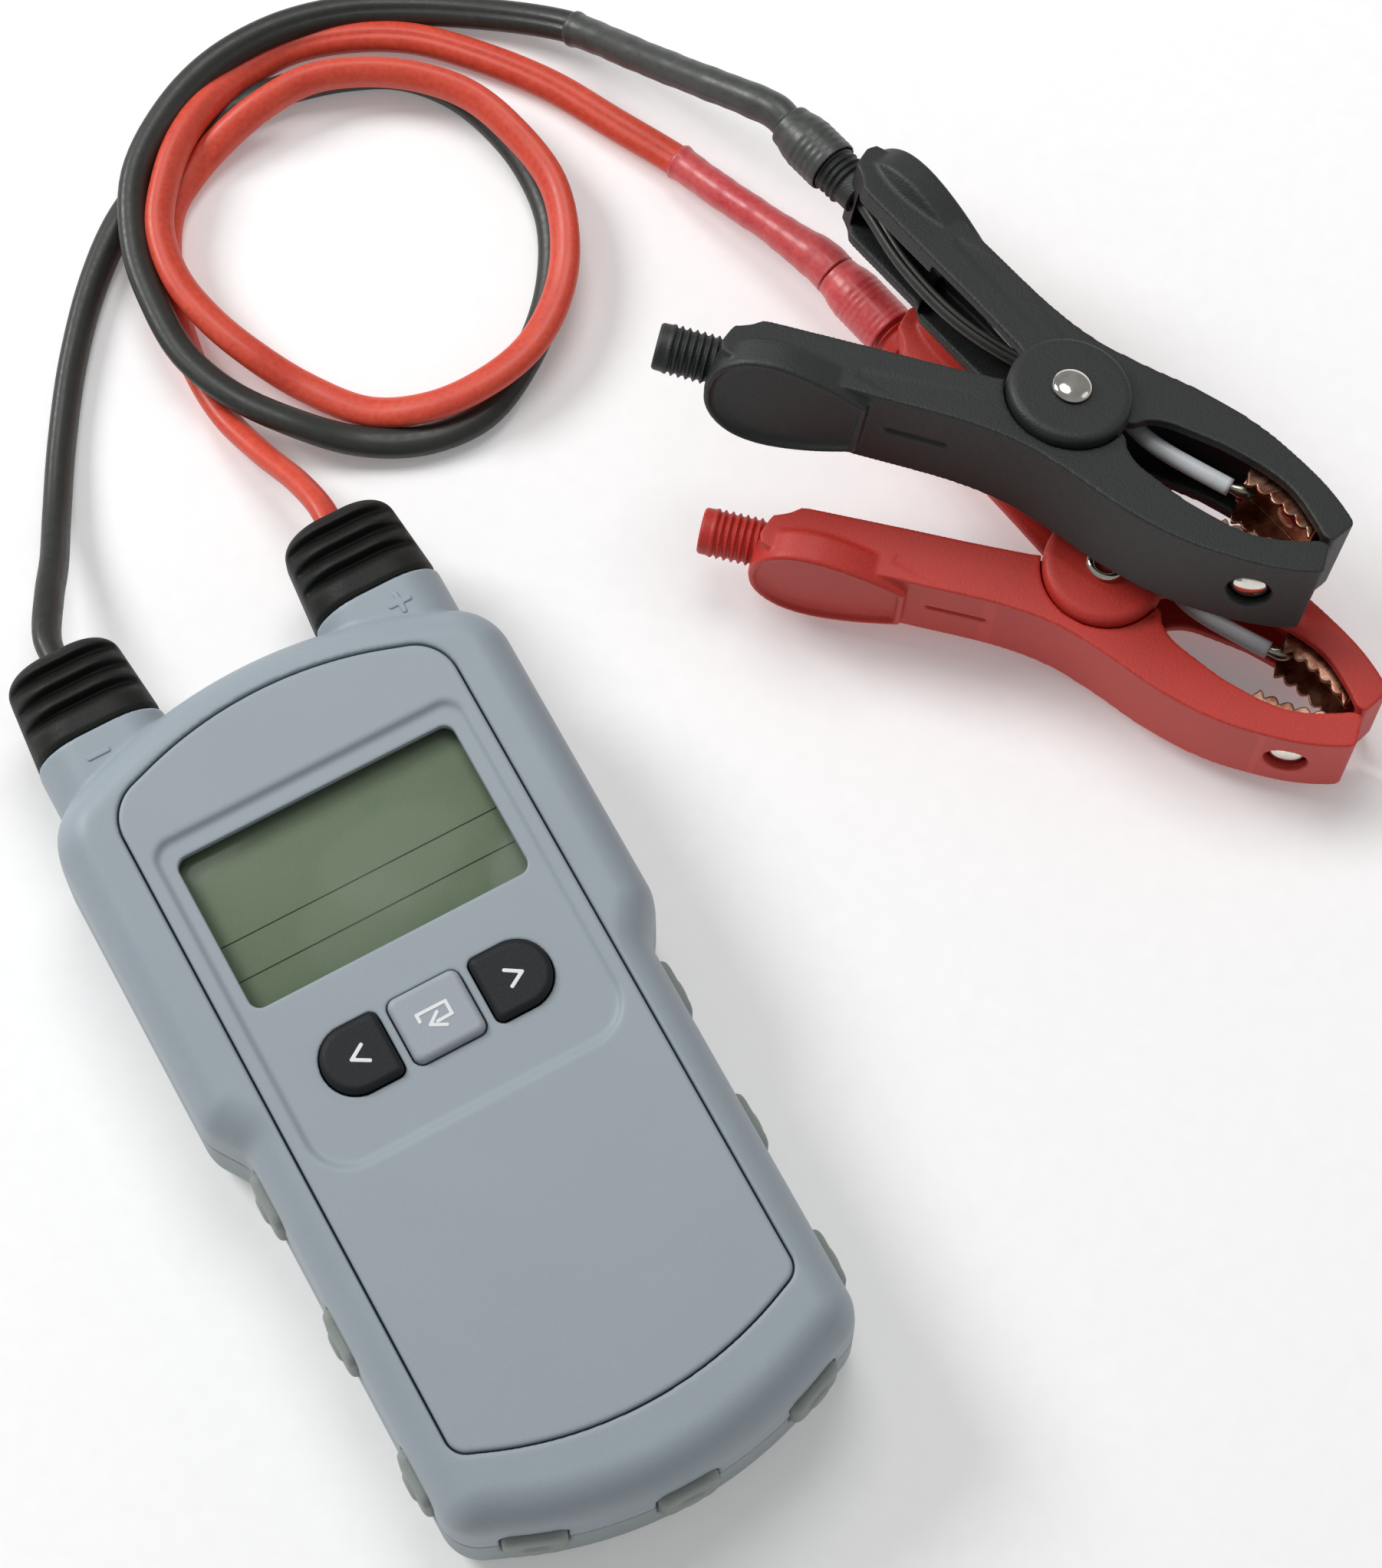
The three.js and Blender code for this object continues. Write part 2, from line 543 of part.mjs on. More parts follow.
const INNER_HALF_WIDTH = LEVER_HALF_THICKNESS - LEVER_SIDE_WALL;
const GRIP_CHANNEL = GRIP_HALF_THICKNESS - LEVER_SIDE_WALL;
const EAR_OUTER = INNER_HALF_WIDTH - GAP;
const EAR_INNER = 4.8;
const EAR_RADIUS = 9;
const EAR_REACH = 22;

function movingLever() {
  const ears = uprightCylinder(0, 0, EAR_RADIUS, -EAR_OUTER, EAR_OUTER, 24);
  const blank = join(leverBlank(), ears);
  const clearance = bothSides(EAR_OUTER, 20, (z0, z1) => (
    uprightCylinder(0, 0, PIVOT_RADIUS + GAP, z0, z1, 28)));
  return cut(
    blank,
    leverChannel(GRIP_CHANNEL, -70, GRIP_START_X),
    leverChannel(INNER_HALF_WIDTH, GRIP_START_X - 1, -EAR_REACH),
    leverChannel(EAR_INNER, -EAR_REACH - 1, EAR_REACH + 1),
    leverChannel(INNER_HALF_WIDTH, EAR_REACH, 70),
    uprightCylinder(0, 0, RIVET_RADIUS + GAP, -20, 20, 14),
    contactHole(),
    ...clearance,
  );
}

function fixedLever() {
  const discs = bothSides(INNER_HALF_WIDTH, PIVOT_HALF_THICKNESS, (z0, z1) => (
    uprightCylinder(0, 0, PIVOT_RADIUS, z0, z1, 28)));
  const channels = [
    leverChannel(GRIP_CHANNEL, -70, GRIP_START_X),
    leverChannel(INNER_HALF_WIDTH, GRIP_START_X - 1, 70),
  ];
  const lever = join(cut(leverBlank(), ...channels), ...discs);
  const hole = uprightCylinder(0, 0, RIVET_RADIUS + GAP, -20, 20, 14);
  return flipped(geometryFrom(cut(lever, hole, contactHole())));
}

// The mirror image of a solid on the other side of the clamp's own X axis.
function flipped(geometry) {
  const copy = geometry.clone().scale(1, -1, 1);
  const order = copy.index.array;
  for (let i = 0; i < order.length; i += 3) {
    [order[i + 1], order[i + 2]] = [order[i + 2], order[i + 1]];
  }
  return copy;
}

function pivotRivet() {
  const head = 4.2;
  const face = PIVOT_HALF_THICKNESS + GAP;
  const profile = [[0, -face - 0.7], [head, -face - 0.5], [head, -face], [RIVET_RADIUS, -face]];
  profile.push([RIVET_RADIUS, face], [head, face]);
  profile.push([head * 0.85, face + 0.9], [head * 0.5, face + 1.4], [0, face + 1.6]);
  return new THREE.LatheGeometry(vectors(profile), 16).rotateX(Math.PI / 2);
}

// A wire spring: three turns round the rivet and a leg along the back of each lever.
function clampSpring() {
  const coilRadius = 5.4;
  const topZ = 3.2;
  const turns = 2.6;
  const stepsPerTurn = 9;
  const points = [[-25, -17.6, topZ], [-12, -12.2, topZ]];
  const count = Math.round(turns * stepsPerTurn);
  for (let i = 0; i <= count; i++) {
    const angle = THREE.MathUtils.degToRad(-100) + (2 * Math.PI * turns * i) / count;
    const z = topZ - (2 * topZ * i) / count;
    points.push([coilRadius * Math.cos(angle), coilRadius * Math.sin(angle), z]);
  }
  points.push([-12, 12.2, -topZ], [-25, 17.6, -topZ]);
  return tube(points, 0.85, 42, 6);
}

// A curved copper jaw lining: a floor strip along the lever's back and a toothed side plate at each edge.
function jawContact() {
  const floorBack = [[38.6, -14], [45, -12.3], [51.8, -10.1], [56.6, -7.7]];
  const floorFront = [[56.6, -6.6], [51.4, -9], [45, -11.2], [38.6, -12.9]];
  const teeth = [];
  const toothCount = 5;
  for (let i = 0; i <= toothCount * 2; i++) {
    const x = 40 + (16.4 * i) / (toothCount * 2);
    const crest = -5 + 4.1 * ((x - 40) / 16.4) ** 2;
    teeth.push([x, crest - (i % 2 ? 0 : 1.3)]);
  }
  const side = [[38.6, -13.6], [45, -12.2], [51.6, -10], [56.5, -7.4], ...teeth.reverse(), [38.8, -8]];
  const halfWidth = INNER_HALF_WIDTH - 0.9;
  const strip = prism(vectors([...floorBack, ...floorFront]), -halfWidth, halfWidth);
  const plates = bothSides(halfWidth - 1, halfWidth, (z0, z1) => prism(vectors(side), z0, z1));
  const shank = uprightCylinder(0, 0, 1.9, -6, 6, 12).rotateX(Math.PI / 2).rotateZ(CONTACT_TURN);
  return geometryFrom(cut(join(strip, ...plates), shank.translate(...CONTACT_RIVET, 0)));
}

function contactRivet() {
  const profile = [[0, -3.4], [2.4, -3.1], [2.6, -2.6], [1.5, -2.6], [1.5, 0], [3.9, 0], [3.9, 0.3]];
  profile.push([2.4, 1.2], [0, 1.4]);
  const rivet = new THREE.LatheGeometry(vectors(profile), 16);
  const [x, y] = CONTACT_RIVET;
  return rivet.rotateX(Math.PI).rotateZ(CONTACT_TURN).translate(x - 0.35, y + 1, 0);
}

function nozzleSleeve(start) {
  const profile = [[5.6, start], [6.1, start], [6.1, 14], [5.5, 19], [4.9, SLEEVE_END], [3.2, SLEEVE_END]];
  profile.push([3.2, 14], [5.6, 14], [5.6, start]);
  const lathe = new THREE.LatheGeometry(vectors(profile), 14);
  return flipped(alongGrip(lathe.rotateZ(-Math.PI / 2), NOZZLE_SLOPE, NOZZLE_BASE));
}

const CHANNEL_WIRE = [
  [-70, 30, 0], [-60, 25.4, -0.2], [-46, 17.2, -0.6], [-31, 11.6, -0.6], [-16, 9.4, 0.2], [0, 10.2, 1.1],
  [8.4, 9.6, 1.4],
];
const WIRE_SLEEVE = [
  [9, 9.5, 1.4], [13, 8, 1.9], [17.4, 6.2, 2.5], [22, 5.4, 2.8], [29, 5.2, 3], [37, 5.4, 3],
];
const SENSE_WIRE = [[24, -11, -3], [29, -11.6, -3], [34, -11.2, -3], [38.2, -10.4, -3]];

function addClamp(colour, set, place) {
  const clamp = new THREE.Group();
  clamp.position.set(...place.rivet);
  clamp.rotation.set(...place.turn.map(THREE.MathUtils.degToRad), "ZYX");
  addPiece(clamp, `${colour}_clamp_fixed_lever`, fixedLever(), set.clamp);
  addPiece(clamp, `${colour}_clamp_moving_lever`, movingLever(), set.clamp);
  addPiece(clamp, `${colour}_clamp_pivot_rivet`, pivotRivet(), PLATED_STEEL);
  addPiece(clamp, `${colour}_clamp_spring`, clampSpring(), PLATED_STEEL);
  addPiece(clamp, `${colour}_clamp_moving_contact`, jawContact(), COPPER);
  addPiece(clamp, `${colour}_clamp_fixed_contact`, flipped(jawContact()), COPPER);
  addPiece(clamp, `${colour}_clamp_moving_contact_rivet`, contactRivet(), PLATED_STEEL);
  const upperRivet = flipped(mergeVertices(contactRivet()));
  addPiece(clamp, `${colour}_clamp_fixed_contact_rivet`, upperRivet, PLATED_STEEL);
  addPiece(clamp, `${colour}_clamp_channel_wire`, tube(CHANNEL_WIRE, 1.4, 16, 6), set.lead);
  addPiece(clamp, `${colour}_clamp_wire_sleeve`, tube(WIRE_SLEEVE, 2, 7, 8), WHITE_SLEEVE);
  addPiece(clamp, `${colour}_clamp_sense_wire`, tube(SENSE_WIRE, 1.2, 5, 6), WHITE_SLEEVE);
  addPiece(clamp, `${colour}_clamp_nozzle_sleeve`, nozzleSleeve(set.sleeveStart), set.shrink);
  tester.add(clamp);
}

// ---- The tester ----
addPiece(tester, "rear_case", rearCase(), REAR_GREY);
addPiece(tester, "front_case", frontCase(), CASE_GREY);
addPiece(tester, "face_panel", facePanel(), PANEL_GREY);
addPiece(tester, "display_window", displayPlate(66, 40, 33.5, 34.7), CLEAR_LENS);
addPiece(tester, "lcd_module", displayPlate(64, 38, 30.7, 33.2), LCD_GREEN);
addPiece(tester, "lcd_frame", cut(displayPlate(67, 43, 25.9, 30.4), displayPlate(60, 36, 20, 40)), INK_BLACK);
addPiece(tester, "circuit_board", box(-33.5, 33.5, -74, 78, 24, 25.6), BOARD_GREEN);
addPiece(tester, "keypad_mat", keypadMat(), BUMPER_GREY);
addPiece(tester, "processor_chip", box(-7, 7, 20, 34, 22.1, 23.7), INK_BLACK);
addPiece(tester, "load_resistor", box(-13, 13, -45, -27, 13.5, 23.7), WHITE_SLEEVE);
addPiece(tester, "storage_capacitor", uprightCylinder(-18, 8, 8, 8, 23.7, 20), PLATED_STEEL);
for (const [name, outline] of Object.entries(KEYS)) {
  addPiece(tester, name, keyCap(outline), name === "key_enter" ? PANEL_GREY : KEY_CHARCOAL);
}
for (const place of bumperPlaces()) {
  addPiece(tester, place[0], atBumper(bumperBlock(), place), BUMPER_GREY);
}
SCREW_PLACES.forEach(([x, y], i) => addPiece(tester, `case_screw_${i + 1}`, screw(x, y), PLATED_STEEL));
for (const [colour, x, set] of [["black", -LEAD_X, BLACK_SET], ["red", LEAD_X, RED_SET]]) {
  const inward = Math.sign(x);
  const tail = [[x, 87.6, LEAD_Z], [x, 82, LEAD_Z], [x - inward * 1.5, 75, 18.5]];
  tail.push([x - inward * 4, 69, 19.5], [x - inward * 5, 66, 21.4]);
  addPiece(tester, `${colour}_lead_boot`, leadBoot(x), BLACK_RUBBER);
  addPiece(tester, `${colour}_lead_tail`, tube(tail, 1.8, 10, 8), set.lead);
}
addPiece(tester, "black_lead", tube(BLACK_ROUTE, LEAD_RADIUS, 72), BLACK_SET.lead);
addPiece(tester, "red_lead", tube(RED_ROUTE, LEAD_RADIUS, 72), RED_SET.lead);
addPiece(tester, "black_lead_shrink", tube(BLACK_SHRINK, 3.3, 14), BLACK_SET.shrink);
addPiece(tester, "red_lead_shrink", tube(RED_SHRINK, 4, 10), RED_SET.shrink);
addClamp("black", BLACK_SET, BLACK_CLAMP);
addClamp("red", RED_SET, RED_CLAMP);

export default tester;
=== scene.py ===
"""A hand-held battery tester with two clamp leads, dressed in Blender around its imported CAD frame.

Shapes are in millimetres, in the CAD's frame or a clamp's own, and become metres when a piece is finished.
"""

from math import atan2, cos, exp, hypot, pi, radians, sin, sqrt, tan

import bmesh
import bpy
from mathutils import Matrix, Vector


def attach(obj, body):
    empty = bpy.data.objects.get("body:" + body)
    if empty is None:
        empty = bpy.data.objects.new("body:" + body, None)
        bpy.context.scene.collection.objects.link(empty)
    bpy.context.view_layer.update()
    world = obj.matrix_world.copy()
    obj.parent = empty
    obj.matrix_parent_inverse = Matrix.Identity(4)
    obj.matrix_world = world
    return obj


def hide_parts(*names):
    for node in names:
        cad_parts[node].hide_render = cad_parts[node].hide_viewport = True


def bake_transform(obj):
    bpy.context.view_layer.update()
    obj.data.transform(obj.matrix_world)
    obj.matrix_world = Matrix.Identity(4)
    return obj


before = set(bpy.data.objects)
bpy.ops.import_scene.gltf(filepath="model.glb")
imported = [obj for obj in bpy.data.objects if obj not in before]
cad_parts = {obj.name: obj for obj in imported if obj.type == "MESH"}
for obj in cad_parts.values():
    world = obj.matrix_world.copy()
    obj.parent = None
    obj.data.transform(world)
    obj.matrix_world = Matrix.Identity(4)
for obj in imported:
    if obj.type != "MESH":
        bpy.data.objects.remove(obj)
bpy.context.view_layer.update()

MM = 0.001
TAU = 2 * pi
SCENE = bpy.context.scene

# ---- Driving dimensions, in millimetres ----
CASE_HEIGHT = 38.0
PARTING_Z = 20.0
GAP = 0.3
WALL = 2.2
UPPER_HALF_WIDTH = 51.0
LOWER_HALF_WIDTH = 45.5
LEAD_X = 31.8
LEAD_Z = 19.5
COLLAR_WIDTH = 28.4
COLLAR_HEIGHT = 25.0
COLLAR_RADIUS = 10.0
COLLAR_END_Y = 97.0
END_RADIUS = 86.0
END_CENTRE_Y = -9.4
SIDE_BUMPERS_Y = (-5.7, -37, -68.5)
END_BUMPER_DEGREES = (-21, 0, 21)
SCREW_PLACES = ((39.5, -70), (-39.5, -70), (43.5, 58), (-43.5, 58))
BOOT_END_Y = 117.7
GROOVES_Y = (104.9, 109.4, 113.9)
GROOVE_DEPTH = 3.0
PANEL_THICKNESS = 3.0
KEY_ROW_Y = 8.3
KEY_TOP_Z = 38.6
DISPLAY_Y = 44.3
DISPLAY_WIDTH = 62.0
DISPLAY_HEIGHT = 35.4
LEAD_HALF_WIDTH = 3.5
LEAD_HALF_HEIGHT = 2.55
LEVER_HALF_THICKNESS = 10.5
LEVER_SIDE_WALL = 2.5
GRIP_HALF_THICKNESS = 8.0
PIVOT_RADIUS = 13.0
PIVOT_HALF_THICKNESS = 13.3
EAR_RADIUS = 9.0
RIVET_BORE_RADIUS = 2.5
NOZZLE_RIDGES = 6
RIDGE_PITCH = 1.55


# ---- Outlines ----
def rounded_outline(corners, step=0.5):
    """Points round a polygon of corners [x, y, radius], about one step apart on the corner arcs."""
    points = []
    for i, (x, y, radius) in enumerate(corners):
        corner = Vector((x, y))
        back = (Vector(corners[i - 1][:2]) - corner).normalized()
        ahead = (Vector(corners[(i + 1) % len(corners)][:2]) - corner).normalized()
        half = back.angle(ahead) / 2
        start = corner + back * radius / tan(half)
        centre = corner + (back + ahead).normalized() * radius / sin(half)
        side = 1 if ahead.x * back.y - ahead.y * back.x > 0 else -1
        turn = side * (pi - 2 * half)
        count = max(2, round(abs(turn) * radius / step))
        spoke = start - centre
        for k in range(count + 1):
            angle = turn * k / count
            points.append((
                centre.x + spoke.x * cos(angle) - spoke.y * sin(angle),
                centre.y + spoke.x * sin(angle) + spoke.y * cos(angle),
            ))
    return points


def inset(points, distance):
    """The outline moved inwards by a distance; a negative distance grows it."""
    moved = []
    for i, point in enumerate(points):
        here = Vector(point)
        first = (here - Vector(points[i - 1])).normalized()
        second = (Vector(points[(i + 1) % len(points)]) - here).normalized()
        normal = Vector((-first.y - second.y, first.x + second.x)).normalized()
        stretch = distance / max(0.5, normal.dot(Vector((-first.y, first.x))))
        moved.append(tuple(here + normal * stretch))
    return moved


def rectangle(width, height, radius, centre=(0, 0), step=0.5):
    x, y = width / 2, height / 2
    corners = [[x, -y, radius], [x, y, radius], [-x, y, radius], [-x, -y, radius]]
    return [(px + centre[0], py + centre[1]) for px, py in rounded_outline(corners, step)]


def both_hands(half, *middle):
    """All corners, from the right-hand ones listed from the bottom up and any on the bottom's middle."""
    return half + [[-x, y, radius] for x, y, radius in reversed(half) if x > 0] + list(middle)


def circle(radius, sides, centre=(0, 0)):
    angles = [TAU * k / sides for k in range(sides)]
    return [(centre[0] + radius * cos(a), centre[1] + radius * sin(a)) for a in angles]


CASE_OUTLINE = rounded_outline(both_hands(
    [
        [LOWER_HALF_WIDTH, -83.6, 9],
        [LOWER_HALF_WIDTH, 3, 5],
        [UPPER_HALF_WIDTH, 11.5, 9],
        [UPPER_HALF_WIDTH, 82.7, 13],
        [0, 102.4, 100],
    ],
    [0, -102.5, END_RADIUS],
))
PANEL_OPENING = rounded_outline(both_hands(
    [[37.9, -70.5, 4.5], [37.9, 78.3, 10], [0, 91.3, 83]],
    [0, -86.3, 83],
))
FACE_RECESS = rounded_outline(both_hands([[34.2, -11.3, 9], [34.2, 66.2, 4]]))
DISPLAY_OPENING = rectangle(DISPLAY_WIDTH, DISPLAY_HEIGHT, 2.5, (0, DISPLAY_Y), 0.25)
ENTER_KEY = rectangle(15.8, 14.6, 2, (0, KEY_ROW_Y), 0.25)
RIGHT_KEY = rounded_outline(
    [
        [25, KEY_ROW_Y - 7.2, 7],
        [25, KEY_ROW_Y + 7.2, 7],
        [10.3, KEY_ROW_Y + 7.2, 1.6],
        [10.3, KEY_ROW_Y - 7.2, 1.6],
    ],
    0.25,
)
LEFT_KEY = [(-x, y) for x, y in reversed(RIGHT_KEY)]
KEYS = {"key_left": LEFT_KEY, "key_enter": ENTER_KEY, "key_right": RIGHT_KEY}


# ---- Meshes ----
def new_object(name, data):
    obj = bpy.data.objects.new(name, data)
    SCENE.collection.objects.link(obj)
    return obj


def mesh_object(name, mesh):
    """A new object from a bmesh, which is freed."""
    bmesh.ops.recalc_face_normals(mesh, faces=mesh.faces)
    data = bpy.data.meshes.new(name)
    mesh.to_mesh(data)
    mesh.free()
    return new_object(name, data)


def loft(rings):
    """A closed skin through rings of 3-D points that all have the same count."""
    mesh = bmesh.new()
    rows = [[mesh.verts.new(point) for point in ring] for ring in rings]
    count = len(rows[0])
    for low, high in zip(rows, rows[1:]):
        for i in range(count):
            j = (i + 1) % count
            mesh.faces.new((low[i], low[j], high[j], high[i]))
    mesh.faces.new(list(reversed(rows[0])))
    mesh.faces.new(rows[-1])
    return mesh_object("solid", mesh)


def stack(outline, levels):
    """A loft of one outline through levels of (z, inset)."""
    return loft([[(x, y, z) for x, y in inset(outline, shrink)] for z, shrink in levels])


def prism(outline, z0, z1):
    return loft([[(x, y, z) for x, y in outline] for z in (z0, z1)])


def block(x0, x1, y0, y1, z0, z1):
    return prism([(x0, y0), (x1, y0), (x1, y1), (x0, y1)], z0, z1)


def disc(radius, z0, z1, sides=72, centre=(0, 0)):
    return prism(circle(radius, sides, centre), z0, z1)


def dome(radius, base, rise, count=8):
    """The profile of a dome from its rim at base almost to its top."""
    angles = [pi / 2 * k / count for k in range(count)]
    return [(radius * cos(a), base + rise * sin(a)) for a in angles]


def lathe(profile, sides):
    """A turned solid about Z from a closed or axis-to-axis profile of (radius, height)."""
    mesh = bmesh.new()
    verts = [mesh.verts.new((radius, 0, height)) for radius, height in profile]
    edges = [mesh.edges.new(pair) for pair in zip(verts, verts[1:])]
    bmesh.ops.spin(
        mesh, geom=verts + edges, cent=(0, 0, 0), axis=(0, 0, 1), angle=TAU, steps=sides, use_merge=True
    )
    bmesh.ops.remove_doubles(mesh, verts=mesh.verts, dist=1e-4)
    return mesh_object("solid", mesh)


LAID_ALONG_X = Matrix.Rotation(pi / 2, 4, "Y")
LAID_ALONG_Y = Matrix.Rotation(pi / 2, 4, "X")


def about_z(angle):
    return Matrix.Rotation(angle, 4, "Z")


def at(x, y, z=0, turn=0):
    """The placing that turns about Z and then moves."""
    return Matrix.Translation((x, y, z)) @ about_z(turn)


def placed(obj, matrix):
    obj.data.transform(matrix)
    obj.data.update()
    return obj


def apply_modifiers(obj):
    bpy.context.view_layer.update()
    graph = bpy.context.evaluated_depsgraph_get()
    made = bpy.data.meshes.new_from_object(obj.evaluated_get(graph))
    obj.modifiers.clear()
    old = obj.data
    obj.data = made
    bpy.data.meshes.remove(old)
    return obj


def boolean(body, tools, operation):
    for tool in tools:
        modifier = body.modifiers.new("Boolean", "BOOLEAN")
        modifier.operation = operation
        modifier.solver = "MANIFOLD"
        modifier.object = tool
        apply_modifiers(body)
        bpy.data.objects.remove(tool)
    return body


def cut(body, *tools):
    return boolean(body, tools, "DIFFERENCE")


def joined(body, *others):
    return boolean(body, others, "UNION")


def gathered(first, *others):
    """One mesh from several solids that overlap, without cutting them."""
    mesh = bmesh.new()
    for obj in (first, *others):
        mesh.from_mesh(obj.data)
    for obj in (first, *others):
        bpy.data.objects.remove(obj)
    return mesh_object("gathered", mesh)


def moulded(obj, cell, rounds):
    """Rebuilds a solid as an even skin whose edges are softly rounded, as a mould leaves them."""
    remesh = obj.modifiers.new("Remesh", "REMESH")
    remesh.mode = "VOXEL"
    remesh.voxel_size = cell
    relax = obj.modifiers.new("Relax", "SMOOTH")
    relax.factor = 0.5
    relax.iterations = rounds
    return apply_modifiers(obj)


def dress(obj, material):
    obj.data.materials.clear()
    obj.data.materials.append(material)


def shown(obj, name, material, replaces, body="tester"):
    """Finishes a piece made in millimetres: scales, names, dresses and attaches it."""
    obj.data.transform(Matrix.Scale(MM, 4))
    obj.name = name
    obj.data.name = name
    for polygon in obj.data.polygons:
        polygon.use_smooth = True
    dress(obj, material)
    if body:
        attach(obj, body)
    if replaces:
        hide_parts(*replaces)
    return obj


def spline(points, per_span):
    """Evenly curved points through the given ones: a centripetal Catmull-Rom spline."""
    knots = [Vector(p) for p in points]
    knots = [2 * knots[0] - knots[1]] + knots + [2 * knots[-1] - knots[-2]]
    curve = []
    for i in range(1, len(knots) - 2):
        before, start, end, after = knots[i - 1:i + 3]
        spans = ((before, start), (start, end), (end, after))
        gaps = [max((b - a).length ** 0.5, 1e-4) for a, b in spans]
        leave = (start - before) / gaps[0] - (end - before) / (gaps[0] + gaps[1]) + (end - start) / gaps[1]
        arrive = (end - start) / gaps[1] - (after - start) / (gaps[1] + gaps[2]) + (after - end) / gaps[2]
        leave *= gaps[1]
        arrive *= gaps[1]
        for k in range(per_span):
            t = k / per_span
            curve.append(
                start * (2 * t**3 - 3 * t**2 + 1)
                + leave * (t**3 - 2 * t**2 + t)
                + end * (3 * t**2 - 2 * t**3)
                + arrive * (t**3 - t**2)
            )
    curve.append(knots[-2])
    return curve


def run_length(points):
    return sum((b - a).length for a, b in zip(points, points[1:]))


def sweep(path, radius_at, sides):
    """A tube along a path. radius_at(share of the length, angle) is its radius; angle 0 is upwards."""
    rings = []
    total = run_length(path)
    done = 0.0
    side = None
    for i, point in enumerate(path):
        ahead = path[min(i + 1, len(path) - 1)]
        behind = path[max(i - 1, 0)]
        along = (ahead - behind).normalized()
        if side is None:
            side = along.cross(Vector((0, 0, 1)) if abs(along.z) < 0.9 else Vector((0, 1, 0)))
        side = (side - along * side.dot(along)).normalized()
        up = side.cross(along)
        ring = []
        for k in range(sides):
            angle = TAU * k / sides
            radius = radius_at(done / total, angle)
            ring.append(point + (up * cos(angle) + side * sin(angle)) * radius)
        rings.append(ring)
        done += (ahead - point).length
    return loft(rings)


def wire(points, radius, sides, per_span):
    """A round wire of one radius through points."""
    return sweep(spline(points, per_span), lambda share, angle: radius, sides)


# ---- Materials; their lengths are in metres ----
CLOUD_SIZE = 0.02
# The pointiness range and brightness of the painted edge highlight, which lightens convex edges.
EDGE_POINTINESS = (0.53, 0.62)
EDGE_HIGHLIGHT_BRIGHTNESS = 1.7
BOARD_TRACKS_PER_METRE = 300


def linear(rgb):
    """Linear colour from 0-255 display values."""
    return tuple(((c / 255 + 0.055) / 1.055) ** 2.4 if c > 10 else c / 255 / 12.92 for c in rgb) + (1.0,)


def link(tree, start, end):
    tree.links.new(start, end)


def fill(node, values):
    """Sets a node's unlinked inputs."""
    for name, value in values.items():
        node.inputs[name].default_value = value


def surface(tree, shader, colour, roughness):
    link(tree, colour, shader.inputs["Base Color"])
    link(tree, roughness, shader.inputs["Roughness"])


def new_material(name):
    material = bpy.data.materials.new(name)
    material.use_nodes = True
    tree = material.node_tree
    shader = next(n for n in tree.nodes if n.type == "BSDF_PRINCIPLED")
    coordinates = tree.nodes.new("ShaderNodeTexCoord")
    return material, tree, shader, coordinates.outputs["Object"]


def noise(tree, place, size, detail, roughness=0.55):
    """A noise texture whose features are about size metres across."""
    node = tree.nodes.new("ShaderNodeTexNoise")
    fill(node, {"Scale": 1 / size, "Detail": detail, "Roughness": roughness})
    link(tree, place, node.inputs["Vector"])
    return node.outputs["Fac"]


def ramp(tree, value, low, high, start=0.3, end=0.7):
    """Blends from colour low to colour high as value goes from start to end."""
    node = tree.nodes.new("ShaderNodeValToRGB")
    for element, position, colour in zip(node.color_ramp.elements, (start, end), (low, high)):
        element.position = position
        element.color = colour
    link(tree, value, node.inputs["Fac"])
    return node.outputs["Color"]


def mixed(tree, factor, first, second):
    """A blend of two colours; inputs 0, 6 and 7 of the mix node are its factor and its colours."""
    node = tree.nodes.new("ShaderNodeMix")
    node.data_type = "RGBA"
    for i, value in ((0, factor), (6, first), (7, second)):
        socket = node.inputs[i]
        if isinstance(value, (float, tuple)):
            socket.default_value = value
        else:
            link(tree, value, socket)
    return node.outputs[2]


def mapped(tree, value, low, high, start=0.3, end=0.7):
    """A number that goes from low to high as value goes from start to end."""
    node = tree.nodes.new("ShaderNodeMapRange")
    fill(node, {"From Min": start, "From Max": end, "To Min": low, "To Max": high})
    link(tree, value, node.inputs["Value"])
    return node.outputs["Result"]


def bump(tree, shader, height, strength, distance):
    node = tree.nodes.new("ShaderNodeBump")
    fill(node, {"Strength": strength, "Distance": distance})
    link(tree, height, node.inputs["Height"])
    link(tree, node.outputs["Normal"], shader.inputs["Normal"])


def shade(rgb, factor):
    """Linear colour from display values made lighter or darker."""
    return linear(tuple(min(255, c * factor) for c in rgb))


def plastic(name, rgb, roughness, grain, relief, speckle, mottle, edge_highlight=0.0, specular=0.5):
    """Moulded plastic or rubber: a fine grain, cloudy colour and, on convex edges, a painted highlight that
    lightens them.
    """
    material, tree, shader, place = new_material(name)
    fine = noise(tree, place, grain, 2.0)
    cloudy = noise(tree, place, CLOUD_SIZE, 4.0)
    colour = ramp(tree, fine, shade(rgb, 1 - speckle), shade(rgb, 1 + speckle))
    clouds = ramp(tree, cloudy, shade(rgb, 1 - mottle), shade(rgb, 1 + mottle))
    colour = mixed(tree, 0.5, colour, clouds)
    # Painted highlight: convex edges are lightened, as if they caught the light.
    if edge_highlight:
        geometry = tree.nodes.new("ShaderNodeNewGeometry")
        edge = mapped(tree, geometry.outputs["Pointiness"], 0.0, edge_highlight, *EDGE_POINTINESS)
        colour = mixed(tree, edge, colour, shade(rgb, EDGE_HIGHLIGHT_BRIGHTNESS))
    surface(tree, shader, colour, mapped(tree, fine, roughness - 0.06, roughness + 0.06))
    fill(shader, {"Specular IOR Level": specular})
    bump(tree, shader, fine, relief, grain * 0.25)
    return material


